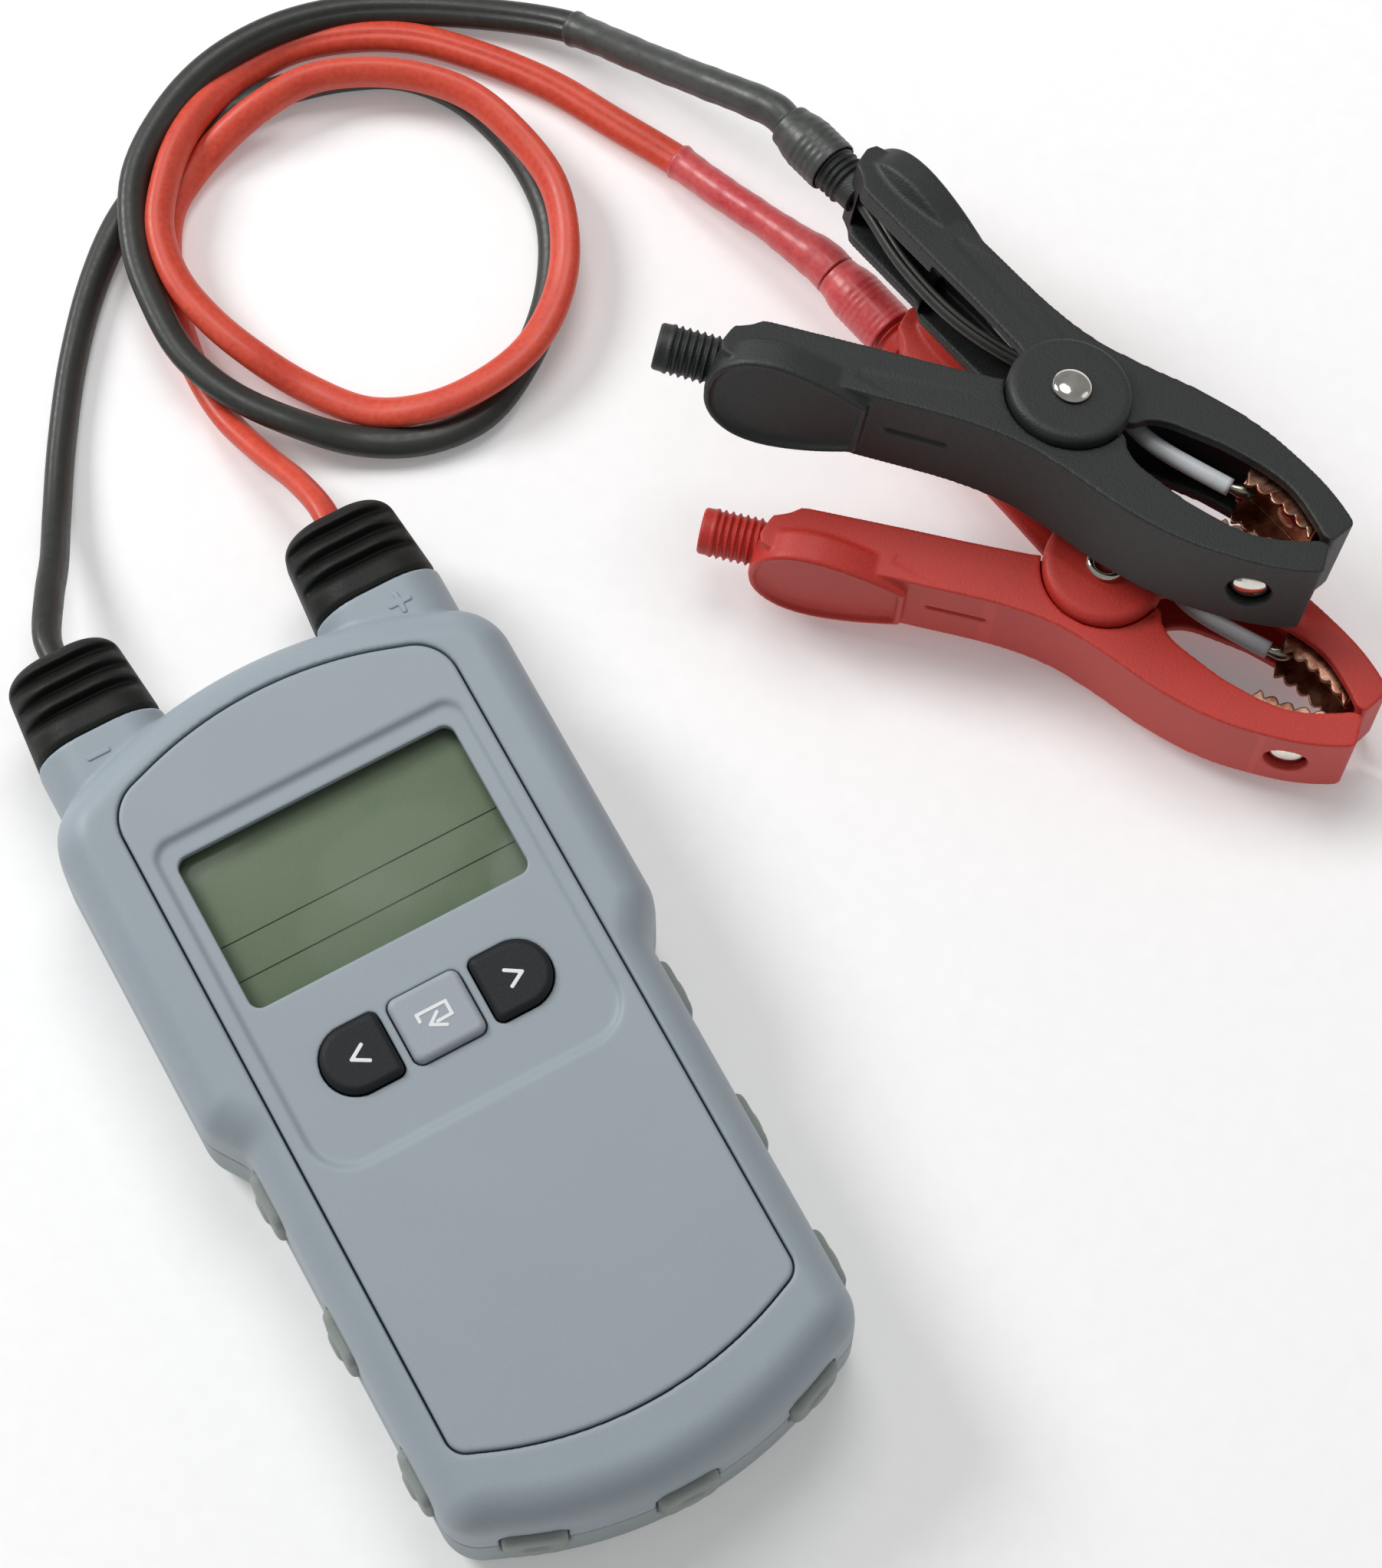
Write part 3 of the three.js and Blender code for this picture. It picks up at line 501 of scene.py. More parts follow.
def metal(name, rgb, roughness, scratch=0.0015, stain=None, relief=0.15):
    """Plated or bare metal with fine scratches and, for copper, heat and handling stains."""
    material, tree, shader, place = new_material(name)
    stretch = tree.nodes.new("ShaderNodeMapping")
    fill(stretch, {"Scale": (1.0, 6.0, 1.0)})
    link(tree, place, stretch.inputs["Vector"])
    lines = noise(tree, stretch.outputs["Vector"], scratch, 5.0, 0.7)
    patches = noise(tree, place, 0.004, 3.0)
    dull = linear(stain or tuple(c * 0.9 for c in rgb))
    colour = ramp(tree, patches, dull, linear(rgb), 0.35, 0.6)
    surface(tree, shader, colour, mapped(tree, lines, roughness * 0.7, roughness * 1.5))
    fill(shader, {"Metallic": 1.0})
    bump(tree, shader, lines, relief, 0.00003)
    return material


def jacket(name, rgb, tint, roughness, coat, dust=0.1):
    """Extruded cable jacket: smooth and slightly glossy, with faint haze and long ripples."""
    material, tree, shader, place = new_material(name)
    ripple = noise(tree, place, 0.009, 2.0)
    haze = noise(tree, place, 0.0012, 4.0)
    colour = ramp(tree, ripple, linear(rgb), linear(tint))
    dusty = ramp(tree, haze, shade(rgb, 1 - dust), shade(tint, 1 + dust * 0.8))
    colour = mixed(tree, 0.4, colour, dusty)
    surface(tree, shader, colour, mapped(tree, haze, roughness - 0.08, roughness + 0.1))
    fill(shader, {"Coat Weight": coat, "Coat Roughness": 0.2})
    bump(tree, shader, ripple, 0.3, 0.00015)
    return material


CASE_GREY = plastic("case plastic", (152, 163, 171), 0.48, 0.00035, 0.2, 0.03, 0.015)
PANEL_GREY = plastic("panel plastic", (154, 165, 172), 0.5, 0.00035, 0.2, 0.03, 0.012)
REAR_GREY = plastic("rear plastic", (146, 155, 158), 0.5, 0.00035, 0.22, 0.03, 0.02)
BUMPER_GREY = plastic("bumper rubber", (146, 153, 149), 0.66, 0.0005, 0.35, 0.05, 0.04, specular=0.3)
KEY_BLACK = plastic("key rubber", (25, 28, 30), 0.6, 0.0004, 0.5, 0.12, 0.06, edge_highlight=0.12, specular=0.35)
KEY_GREY = plastic("key grey rubber", (162, 170, 178), 0.55, 0.0004, 0.3, 0.04, 0.02, specular=0.4)
BOOT_BLACK = plastic("boot rubber", (22, 25, 21), 0.58, 0.0005, 0.4, 0.2, 0.1, specular=0.3)
ICON_WHITE = plastic("icon ink", (236, 238, 240), 0.55, 0.0003, 0.1, 0.02, 0.01)
BLACK_CLAMP = plastic(
    "black clamp plastic", (27, 31, 29), 0.54, 0.0005, 0.8, 0.35, 0.08, edge_highlight=0.3, specular=0.65,
)
RED_CLAMP = plastic(
    "red clamp plastic", (192, 52, 42), 0.5, 0.0005, 0.5, 0.1, 0.04, edge_highlight=0.15, specular=0.45,
)
BLACK_JACKET = jacket("black jacket", (40, 43, 39), (48, 51, 47), 0.46, 0.1)
RED_JACKET = jacket("red jacket", (210, 66, 46), (222, 82, 58), 0.46, 0.1)
BLACK_SHRINK = jacket("black shrink", (58, 60, 58), (72, 75, 72), 0.42, 0.1)
RED_SHRINK = jacket("red shrink", (204, 62, 68), (222, 96, 96), 0.4, 0.2)
WHITE_SLEEVE = jacket("white sleeve", (200, 203, 206), (206, 209, 212), 0.45, 0.1, 0.02)
BRIGHT_PLATE = metal("bright plate", (226, 223, 214), 0.1)
SPRING_STEEL = metal("spring steel", (176, 176, 172), 0.25)
ZINC_PLATE = metal("zinc plate", (188, 186, 176), 0.3)
COPPER = metal("jaw copper", (196, 152, 128), 0.32, 0.003, (138, 84, 64), 0.1)
SOLDER = metal("solder", (190, 188, 176), 0.25, 0.001, (120, 116, 96), 0.6)


def lcd_glass():
    material, tree, shader, place = new_material("lcd glass")
    fine = noise(tree, place, 0.0003, 2.0)
    split = tree.nodes.new("ShaderNodeSeparateXYZ")
    link(tree, place, split.inputs["Vector"])
    # Painted shade: the LCD's colour is darker towards the top of the display, where the window's upper wall
    # shades it, and lighter towards the bottom.
    low = (DISPLAY_Y - DISPLAY_HEIGHT / 2) * MM
    high = (DISPLAY_Y + DISPLAY_HEIGHT / 2) * MM
    painted_shade_towards_top = mapped(tree, split.outputs["Y"], 0.0, 1.0, low, high)
    body = ramp(tree, painted_shade_towards_top, linear((127, 145, 117)), linear((114, 130, 105)), 0.0, 1.0)
    grain = ramp(tree, fine, linear((112, 129, 103)), linear((129, 146, 118)))
    surface(tree, shader, mixed(tree, 0.5, body, grain), mapped(tree, fine, 0.45, 0.55))
    fill(shader, {"Specular IOR Level": 0.15})
    bump(tree, shader, fine, 0.1, 0.00005)
    return material


def clear_window():
    material, tree, shader, place = new_material("clear window")
    haze = noise(tree, place, 0.006, 4.0)
    tint = ramp(tree, haze, linear((96, 108, 96)), linear((112, 122, 110)))
    surface(tree, shader, tint, mapped(tree, haze, 0.08, 0.16))
    fill(shader, {"Specular IOR Level": 0.4, "Alpha": 0.1})
    return material


def circuit_board():
    material, tree, shader, place = new_material("board laminate")
    weave = noise(tree, place, 0.0008, 2.0)
    tracks = tree.nodes.new("ShaderNodeTexBrick")
    fill(tracks, {
        "Scale": BOARD_TRACKS_PER_METRE, "Mortar Size": 0.03, "Mortar": linear((52, 128, 78)),
        "Color1": linear((26, 92, 54)), "Color2": linear((30, 102, 60)),
    })
    link(tree, place, tracks.inputs["Vector"])
    surface(tree, shader, tracks.outputs["Color"], mapped(tree, weave, 0.3, 0.45))
    bump(tree, shader, weave, 0.2, 0.0001)
    return material


# ---- Camera, light and floor, in metres ----
CAMERA_PLACE = (-0.08128, -0.24465, 0.92876)
CAMERA_RIGHT = (0.8774, -0.4798, 0)
CAMERA_BACK = (-0.1574, -0.2877, 0.9447)
CAMERA_LENS = 122.68
SCENE_MIDDLE = Vector((0.06, 0.05, 0.02))
FLOOR_REACH = 6
FLOOR_Z = -0.0004


def make_camera():
    """The camera fitted to the photograph; gives its right and up directions."""
    data = bpy.data.cameras.new("camera")
    data.lens = CAMERA_LENS
    data.sensor_width = 36
    data.sensor_fit = "HORIZONTAL"
    data.clip_start = 0.05
    data.clip_end = 20
    camera = new_object("camera", data)
    right = Vector(CAMERA_RIGHT).normalized()
    back = Vector(CAMERA_BACK).normalized()
    up = back.cross(right).normalized()
    right = up.cross(back)
    basis = Matrix((right, up, back)).transposed().to_4x4()
    camera.matrix_world = Matrix.Translation(CAMERA_PLACE) @ basis
    SCENE.camera = camera
    return right, up


def area_light(name, location, size, power):
    """A round lamp aimed at the middle of the scene."""
    data = bpy.data.lights.new(name, "AREA")
    data.shape = "DISK"
    data.size = size
    data.energy = power
    light = new_object(name, data)
    light.location = location
    light.rotation_euler = (SCENE_MIDDLE - location).to_track_quat("-Z", "Y").to_euler()


def make_studio(right, up):
    world = bpy.data.worlds.new("studio")
    world.use_nodes = True
    fill(world.node_tree.nodes["Background"], {"Color": (1, 1, 1, 1), "Strength": 0.3})
    SCENE.world = world
    overhead = Vector((0, 0, 1))
    area_light("key", SCENE_MIDDLE - right * 1.2 + up * 0.7 + overhead * 0.85, 0.7, 17.0)
    area_light("top", SCENE_MIDDLE + up * 0.75 + overhead * 1.2, 0.8, 7.5)
    area_light("rim", SCENE_MIDDLE + right * 1.0 + up * 0.1 + overhead * 0.5, 0.6, 0.6)
    floor_mesh = bmesh.new()
    corners = ((-1, -1), (1, -1), (1, 1), (-1, 1))
    reach = [(x * FLOOR_REACH, y * FLOOR_REACH, FLOOR_Z) for x, y in corners]
    floor_mesh.faces.new([floor_mesh.verts.new(point) for point in reach])
    floor = mesh_object("floor", floor_mesh)
    material, tree, shader, place = new_material("pale floor")
    paper = noise(tree, place, 0.004, 3.0)
    tone = ramp(tree, paper, (0.93, 0.93, 0.93, 1), (0.96, 0.96, 0.96, 1))
    link(tree, tone, shader.inputs["Base Color"])
    fill(shader, {
        "Roughness": 0.9, "Specular IOR Level": 0.1,
        "Emission Color": (1, 1, 1, 1), "Emission Strength": 0.15,
    })
    floor.data.materials.append(material)
    SCENE.view_settings.view_transform = "Standard"


# ---- Clamp places, shared by the leads and the clamps ----
NOZZLE_BASE = (-64.3, -28.0)
NOZZLE_SLOPE = radians(18.2)
SLEEVE_START = {"black": 6.4, "red": 2.6}
SLEEVE_END = 20.5


def clamp_matrix(rivet, turn):
    """From a clamp's own millimetres to the tester's; the turns are about X, then Y, then Z."""
    x, y, z = (radians(angle) for angle in turn)
    basis = about_z(z) @ Matrix.Rotation(y, 4, "Y") @ Matrix.Rotation(x, 4, "X")
    return Matrix.Translation(rivet) @ basis


CLAMPS = {
    "black": clamp_matrix((169.6, 57.6, 42), (-14.6, 1.2, -60)),
    "red": clamp_matrix((166, 30.4, 15.1), (-3.5, 0.5, -59.8)),
}


def beyond_nozzle(colour, distance):
    """The point that far beyond the base of a clamp's lead nozzle, along its axis."""
    x = NOZZLE_BASE[0] - distance * cos(NOZZLE_SLOPE)
    y = -NOZZLE_BASE[1] + distance * sin(NOZZLE_SLOPE)
    return tuple(CLAMPS[colour] @ Vector((x, y, 0)))


# ---- Leads ----
BLACK_ROUTE = [
    (-31.8, 118.2, 19.5), (-31.3, 124, 18.4), (-26.4, 134.4, 14.2), (-21.9, 142.5, 9.8), (-16.5, 153.5, 5.6),
    (-8, 169, 3.3), (2.7, 185.3, 3), (14.6, 199.6, 3), (27.2, 210.6, 2.9), (40, 217, 2.8),
    (52, 221.2, 2.75), (64.2, 222.4, 2.75), (75.4, 220.9, 2.75), (86, 217.8, 2.75), (96, 212.6, 2.75),
    (103.6, 204, 2.75), (108, 193.6, 2.75), (110.2, 179.6, 2.75), (108.2, 164.6, 2.75), (99.2, 149.2, 2.75),
    (87, 138.4, 2.75), (73.9, 132, 2.75), (60.2, 133, 2.75), (47.4, 139.2, 4), (36.5, 148.4, 7.8),
    (28, 160, 9), (23.6, 172.5, 9), (23.4, 186, 8.9), (25.6, 199.6, 8.9), (33.4, 215.4, 9),
    (46.4, 225.8, 9), (59.9, 231.4, 8.8), (76, 233.4, 7.2), (91.5, 231.2, 5), (105.5, 225.2, 3.6),
    (118, 217, 4), (127.5, 208.4, 6.6), (133, 201.7, 9.2),
]
RED_ROUTE = [
    (31.8, 118.2, 19.5), (31.9, 123.6, 18.4), (30.7, 132.6, 14.6), (27.8, 144.2, 9), (25.2, 157.4, 4.4),
    (24.9, 170, 2.9), (26.6, 183, 2.75), (30.6, 196.4, 2.75), (37, 207.4, 2.8), (45.4, 213, 3.2),
    (55.4, 216.4, 5.4), (65.3, 218, 7.8), (76.5, 218.2, 8.8), (86.6, 214.9, 8.8), (97.4, 207.9, 8.8),
    (105.6, 198.4, 8.8), (110, 186.4, 8.8), (111.8, 170.6, 8.8), (106.8, 155.6, 8.8), (98.7, 145.2, 8.8),
    (88.6, 138.6, 8.8), (76.5, 136, 8.7), (64.5, 137.4, 7), (52.8, 143.9, 4), (43.6, 155.4, 3.8),
    (36.4, 166.8, 7.4), (32, 178, 8.8), (30.2, 190, 8.9), (32.4, 201.8, 8.9), (38, 210.6, 9),
    (45.6, 218.4, 8.8), (55, 224.4, 7.2), (65.4, 228.2, 4.4), (77, 229.8, 2.8), (89, 226.7, 2.75),
    (102, 219.6, 2.75), (113.2, 208.4, 2.8), (123.6, 194.4, 3.2), (131.4, 179, 4), (138.8, 163.6, 5.6),
]
BLACK_SHRINK_ROUTE = [
    (133.4, 200.9, 9.5), (136, 195.4, 12.2), (141.2, 181.8, 20.2), (147.8, 166.6, 28.6), (152.6, 157, 33),
    beyond_nozzle("black", SLEEVE_END + 4), beyond_nozzle("black", SLEEVE_END + GAP),
]
RED_SHRINK_ROUTE = [
    (139, 163.2, 5.7), (142.8, 151.4, 8.4), (147.4, 138.6, 11.4), (150.4, 130, 13),
    beyond_nozzle("red", SLEEVE_END + 4), beyond_nozzle("red", SLEEVE_END + GAP),
]


def smooth_step(low, high, value):
    t = min(1.0, max(0.0, (value - low) / (high - low)))
    return t * t * (3 - 2 * t)


# How far the flat twin-core lead is turned on its edge, in degrees, by share of its length.
BLACK_TWIST = [
    (0, 55), (0.14, 60), (0.22, 25), (0.4, 10), (0.52, 5), (0.6, 35), (0.7, 42), (0.85, 30), (1, 40),
]
RED_TWIST = [
    (0, 55), (0.1, 45), (0.16, 10), (0.28, 45), (0.36, 35), (0.46, 0), (0.56, 10), (0.66, 42), (0.8, 15),
    (0.9, 25), (1, 30),
]


def smooth_between(stations, place):
    """A value that runs smoothly through stations of (place, value)."""
    for (low, first), (high, second) in zip(stations, stations[1:]):
        if place <= high:
            return first + (second - first) * smooth_step(low, high, place)
    return stations[-1][1]


def lead_radius(twist):
    """The oval jacket of two cores, with a faint seam that deepens towards the clamp."""
    def radius(share, angle):
        turned = angle - radians(smooth_between(twist, share))
        wide = LEAD_HALF_HEIGHT * sin(turned)
        tall = LEAD_HALF_WIDTH * cos(turned)
        oval = LEAD_HALF_WIDTH * LEAD_HALF_HEIGHT / hypot(wide, tall)
        seam = exp(-(sin(turned) / 0.2) ** 2)
        return oval - seam * (0.06 + 0.3 * smooth_step(0.7, 0.8, share))
    return radius


def shrink_radius(base, flare):
    """A sleeve with slow ripples and a raised lip at its start, wider by flare at the clamp."""
    def radius(share, angle):
        ripple = 0.05 * sin(share * 31) + 0.04 * sin(share * 67 + 1)
        lip = 0.35 * (1 - smooth_step(0.0, 0.03, share))
        return base + ripple + lip + flare * smooth_step(0.55, 1.0, share) + 0.12 * cos(2 * angle)
    return radius


def make_lead(colour, route, twist, sleeve_route, jacket_material, shrink_material, base, flare):
    """A lead as a cord from its boot to the clamp's nozzle, with the sleeve over its last part."""
    points = spline(route + sleeve_route[1:], 7)
    lead = sweep(points, lead_radius(twist), 32)
    shown(lead, colour + "_cable", jacket_material, [colour + "_lead"])
    sleeve = sweep(spline(sleeve_route, 16), shrink_radius(base, flare), 28)
    name = colour + "_cable_shrink"
    shown(sleeve, name, shrink_material, [colour + "_lead_shrink"])


# ---- Case ----
def collar(side, width, height, radius, y0, y1):
    """A rounded block round a lead's axis, standing from y0 to y1."""
    outline = rectangle(width, height, radius, (side * LEAD_X, LEAD_Z))
    return loft([[(x, y, z) for x, z in outline] for y in (y0, y1)])


def bumper_places():
    """Name and placing of each bumper; each faces outwards along its turned +X."""
    places = []
    for i, y in enumerate(SIDE_BUMPERS_Y, 1):
        places.append((f"right_{i}", at(LOWER_HALF_WIDTH, y, PARTING_Z)))
        places.append((f"left_{i}", at(-LOWER_HALF_WIDTH, y, PARTING_Z, pi)))
    for i, degrees in enumerate(END_BUMPER_DEGREES, 1):
        angle = radians(degrees - 90)
        x, y = END_RADIUS * cos(angle), END_CENTRE_Y + END_RADIUS * sin(angle)
        places.append((f"end_{i}", at(x, y, PARTING_Z, angle)))
    return places


def along_x(outline, stations):
    """A loft of an outline in Y and Z through stations of (x, inset)."""
    return loft([[(x, y, z) for y, z in inset(outline, shrink)] for x, shrink in stations])


def bumper_recesses():
    section = rectangle(13.6, 14.6, 3, step=0.3)
    return [placed(along_x(section, [(-1.7, 0), (4.2, 0)]), place) for name, place in bumper_places()]


def quarter_round(z0, z1, inset0, inset1):
    """Levels from a wall at z0 over a quarter-round to a flat at z1."""
    count = 14
    levels = []
    for k in range(count + 1):
        angle = pi / 2 * k / count
        shrink = inset0 + (inset1 - inset0) * (1 - cos(angle))
        levels.append((z0 + (z1 - z0) * sin(angle), shrink))
    return levels


def half_space(z0, z1):
    """A block wider and longer than the case."""
    return block(-70, 70, -110, 120, z0, z1)


def collar_set(inner, y0, y1):
    """Both lead collars, made smaller all round by half of inner."""
    sizes = (COLLAR_WIDTH - inner, COLLAR_HEIGHT - inner, COLLAR_RADIUS - inner / 2)
    return [collar(side, *sizes, y0, y1) for side in (-1, 1)]


def shell(levels, *tools):
    """One half of the case: its outline and collars, less tools, the lead channels and the recesses."""
    body = joined(stack(CASE_OUTLINE, levels), *collar_set(0, 78, COLLAR_END_Y))
    return cut(body, *tools, *collar_set(6, 60, COLLAR_END_Y + 5), *bumper_recesses())


def make_rear_case():
    levels = [(0, 5.0), (0.35, 3.6), (1.2, 2.1), (2.6, 0.9), (4.4, 0.3), (7, 0.05), (PARTING_Z + 5, 0)]
    hollow = stack(CASE_OUTLINE, [(WALL, 6), (4.5, 3.2), (PARTING_Z + 9, WALL)])
    label_recess = stack(rectangle(52, 70, 3, (0, -20)), [(-1, -0.2), (0.35, 0.2)])
    screw_wells = [disc(3.5, -1, 3.4, 48, centre) for centre in SCREW_PLACES]
    above = half_space(PARTING_Z - GAP / 4, 60)
    case = moulded(shell(levels, above, hollow, label_recess, *screw_wells), cell=0.5, rounds=5)
    shown(case, "rear_shell", REAR_GREY, ["rear_case"])


def make_front_case():
    wall = [(PARTING_Z - 5, 0), (24, 0.05), (28.2, 0.25)]
    levels = wall + quarter_round(28.6, CASE_HEIGHT, 0.3, 8.6)
    hollow = stack(CASE_OUTLINE, [(10, WALL), (29, 3), (33, 5), (34.6, 8)])
    opening = stack(PANEL_OPENING, [(CASE_HEIGHT - PANEL_THICKNESS - GAP, 0), (45, 0)])
    ledge = prism(inset(PANEL_OPENING, 3), 25, 45)
    below = half_space(-10, PARTING_Z + GAP / 4)
    case = moulded(shell(levels, below, hollow, opening, ledge), cell=0.45, rounds=6)
    shown(case, "front_shell", CASE_GREY, ["front_case"])


def make_polarity_marks():
    top = LEAD_Z + COLLAR_HEIGHT / 2
    for name, x, strokes in (("minus_mark", -LEAD_X - 2, [0]), ("plus_mark", LEAD_X + 3, [0, 90])):
        bars = []
        for turn in strokes:
            bar = prism(rectangle(5.2, 1.2, 0.5, step=0.1), -0.6, 0.3)
            bars.append(placed(bar, about_z(radians(turn))))
        mark = placed(joined(*bars), at(x, 91.5, top))
        mark = moulded(mark, cell=0.14, rounds=4)
        shown(mark, name, CASE_GREY, ())


def make_face_panel():
    edge_inset = GAP + 0.1
    edge = [(CASE_HEIGHT - PANEL_THICKNESS, edge_inset), (37.55, edge_inset), (37.88, 0.55), (38.0, 0.95)]
    recess_slope = [
        (36.9, 1.3), (36.96, 0.7), (37.2, 0.25), (37.7, -0.3), (37.92, -0.7), (38.0, -1.3), (38.5, -1.4),
    ]
    recess = stack(FACE_RECESS, recess_slope)
    opening = stack(DISPLAY_OPENING, [(30, 0), (36.7, 0), (37.0, -0.25), (37.3, -0.6)])
    key_holes = [prism(inset(outline, -0.35), 30, 45) for outline in KEYS.values()]
    panel = cut(stack(PANEL_OPENING, edge), recess, opening, *key_holes)
    panel = moulded(panel, cell=0.32, rounds=3)
    shown(panel, "face_plate", PANEL_GREY, ["face_panel"])


def stroke(points, width):
    """A raised ink line through points, with rounded ends and corners."""
    pieces = []
    base = KEY_TOP_Z - 0.02
    for (x0, y0), (x1, y1) in zip(points, points[1:]):
        along = Vector((x1 - x0, y1 - y0))
        bar = rectangle(along.length + width, width, width * 0.42, step=0.08)
        turned = at((x0 + x1) / 2, (y0 + y1) / 2, 0, atan2(along.y, along.x))
        pieces.append(placed(prism(bar, base - 0.5, base + 0.14), turned))
    return joined(*pieces)


KEY_ICONS = {
    "key_left": [[(-15.8, 10.0), (-18.8, 8.1), (-15.7, 6.3)]],
    "key_enter": [
        [(-3.5, 8.5), (-3.5, 10.0), (2.9, 10.0), (2.9, 7.1), (-0.3, 7.0)],
        [(1.0, 5.5), (-1.9, 7.0), (0.4, 8.8)],
    ],
    "key_right": [[(16.0, 10.0), (19.0, 8.1), (15.9, 6.3)]],
}


def make_keys():
    for node, outline in KEYS.items():
        grey = node == "key_enter"
        rounding = [(1.3, 0.0), (0.8, 0.1), (0.35, 0.45), (0, 1.1)]
        top = [(KEY_TOP_Z - drop, shrink) for drop, shrink in rounding]
        cap = stack(outline, [(32.2, 0)] + top)
        flange = prism(inset(outline, -0.9), 32.45, 34.3)
        middle = (min(x for x, y in outline) + max(x for x, y in outline)) / 2
        stem = disc(2.3, 28.8, 33, 40, (middle, KEY_ROW_Y))
        key = moulded(joined(cap, flange, stem), cell=0.22, rounds=5)
        body = node + "_button"
        shown(key, node + "_cap", KEY_GREY if grey else KEY_BLACK, [node], body)
        for i, points in enumerate(KEY_ICONS[node], 1):
            width = 0.75 if grey else 0.8
            line = moulded(stroke(points, width), cell=0.09, rounds=2)
            shown(line, f"{node}_icon_{i}", ICON_WHITE, (), body)


def make_display():
    outline = rectangle(64, 38, 1, (0, DISPLAY_Y), 0.2)
    plate = stack(outline, [(30.8, 0.4), (31.1, 0), (32.9, 0), (33.2, 0.3)])
    shown(plate, "lcd_plate", lcd_glass(), ["lcd_module"])
    line_ink = plastic("lcd line", (38, 48, 34), 0.4, 0.0002, 0.1, 0.05, 0.02)
    for i, y in enumerate((42.5, 34.4), 1):
        line = prism(rectangle(63, 0.28, 0.1, (0, y), 0.05), 33.1, 33.24)
        shown(line, f"lcd_line_{i}", line_ink, ())
    outline = rectangle(66, 40, 1, (0, DISPLAY_Y), 0.2)
    window = stack(outline, [(33.5, 0.15), (33.65, 0), (34.5, 0), (34.65, 0.2)])
    shown(window, "window_pane", clear_window(), ["display_window"])


def make_bumpers():
    section = rectangle(13, 14, 3, step=0.35)
    button = rectangle(6.4, 6.4, 3, step=0.3)
    crown = [(-1.4, 0), (0.2, 0), (0.9, 0.35), (1.3, 0.9), (1.5, 1.8)]
    for name, place in bumper_places():
        raised = along_x(button, [(0, 0), (1.5, 0), (2.0, 0.5), (2.2, 1.4)])
        pad = moulded(joined(along_x(section, crown), raised), cell=0.3, rounds=5)
        node = "bumper_" + name
        shown(placed(pad, place), node + "_pad", BUMPER_GREY, [node])


def groove_depth(y):
    """How deep the boot's finger grooves are: a steep lip on the lead's side, then a long slope."""
    depth = 0.0
    for groove in GROOVES_Y:
        past = groove - y
        depth += exp(-(past / (0.4 if past < 0 else 1.9)) ** 2)
    return GROOVE_DEPTH * depth


def boot_scale(share, nose):
    """The boot's width: a taper, a rounding of its nose and a step at the collar."""
    taper = 0.13 * share
    rounding = 0.3 * (1 - sqrt(1 - nose**2))
    step = 0.04 * (1 - smooth_step(0, 0.06, share))
    return 1 - taper - rounding - step


def make_boots():
    first, last, round_end = COLLAR_END_Y + GAP, BOOT_END_Y, 4.0
    section = rectangle(COLLAR_WIDTH - 0.4, COLLAR_HEIGHT - 0.4, 10, step=0.4)
    count = 110
    for side, colour in ((-1, "black"), (1, "red")):
        rings = []
        for k in range(count + 1):
            y = first + (last - first) * k / count
            share = (y - first) / (last - first)
            nose = max(0, (y - last + round_end) / (round_end + 0.02))
            scale = boot_scale(share, nose)
            ring = []
            for x, z in section:
                reach = abs(x) / (COLLAR_WIDTH / 2)
                sides = (1 - smooth_step(0.84, 0.99, reach)) * smooth_step(1, 6, abs(z))
                shrink = scale * (1 - groove_depth(y) * sides / (COLLAR_HEIGHT / 2))
                ring.append((side * LEAD_X + x * scale, y, LEAD_Z + z * shrink))
            rings.append(ring)
        boot = loft(rings)
        plug = collar(side, COLLAR_WIDTH - 6.6, COLLAR_HEIGHT - 6.6, 6.7, 88, 99.5)
        boot = moulded(joined(boot, plug), cell=0.27, rounds=2)
        shown(boot, colour + "_boot", BOOT_BLACK, [colour + "_lead_boot"])


def make_case_screws():
    profile = [
        (0, 1.15), (2.2, 1.0), (2.85, 1.3), (3.0, 1.8), (3.0, 3.2), (1.5, 3.3), (1.45, 29.6), (0, 30),
    ]
    for i, (x, y) in enumerate(SCREW_PLACES, 1):
        screw = lathe(profile, 40)
        for degrees in (20, 110):
            slot_tool = block(-1.9, 1.9, -0.42, 0.42, 0, 2.3)
            screw = cut(screw, placed(slot_tool, about_z(radians(degrees))))
        placed(screw, at(x, y))
        shown(screw, f"screw_{i}", ZINC_PLATE, [f"case_screw_{i}"])
        flatten_edges(screw)


def flatten_edges(obj):
    """Keeps hard edges crisp on a smooth-shaded turned or cut piece."""
    obj.data.set_sharp_from_angle(angle=radians(35))


# ---- Clamps, in their own frame: rivet along Z, +X to the jaw tips, the moving lever at -Y ----
LEVER_BACK = [
    (-61.6, -32.8), (-33, -24.2), (-14.6, -18.4), (-6, -16.6), (0, -16.1), (10, -16.6), (20, -17.7),
    (29, -17.9), (38, -17), (45, -15.3), (52, -13.1), (57, -10.9), (61.2, -8.5),
]
LEVER_TIP = [(62.2, -7.7), (62.7, -7.0), (62.6, -6.0), (61.4, -1.8), (61.0, -0.9), (60.3, -0.6)]
LEVER_FRONT = [
    (58.8, -0.8), (55.5, -3.2), (50.5, -6.2), (46.5, -7.7), (40.5, -8.5), (33, -8.5), (25.5, -7.5),
    (19.5, -6.3), (16.2, -4.4), (13.5, -1.5), (-10, -1.5), (-12.2, -3.8), (-20, -7), (-40.5, -14.1),
    (-58.6, -20.4),
]
LEVER_END = [(-60.2, -21.2), (-61.0, -22.4), (-61.8, -23.6), (-64.4, -25.8), (-64.6, -30.6), (-63.4, -32.5)]
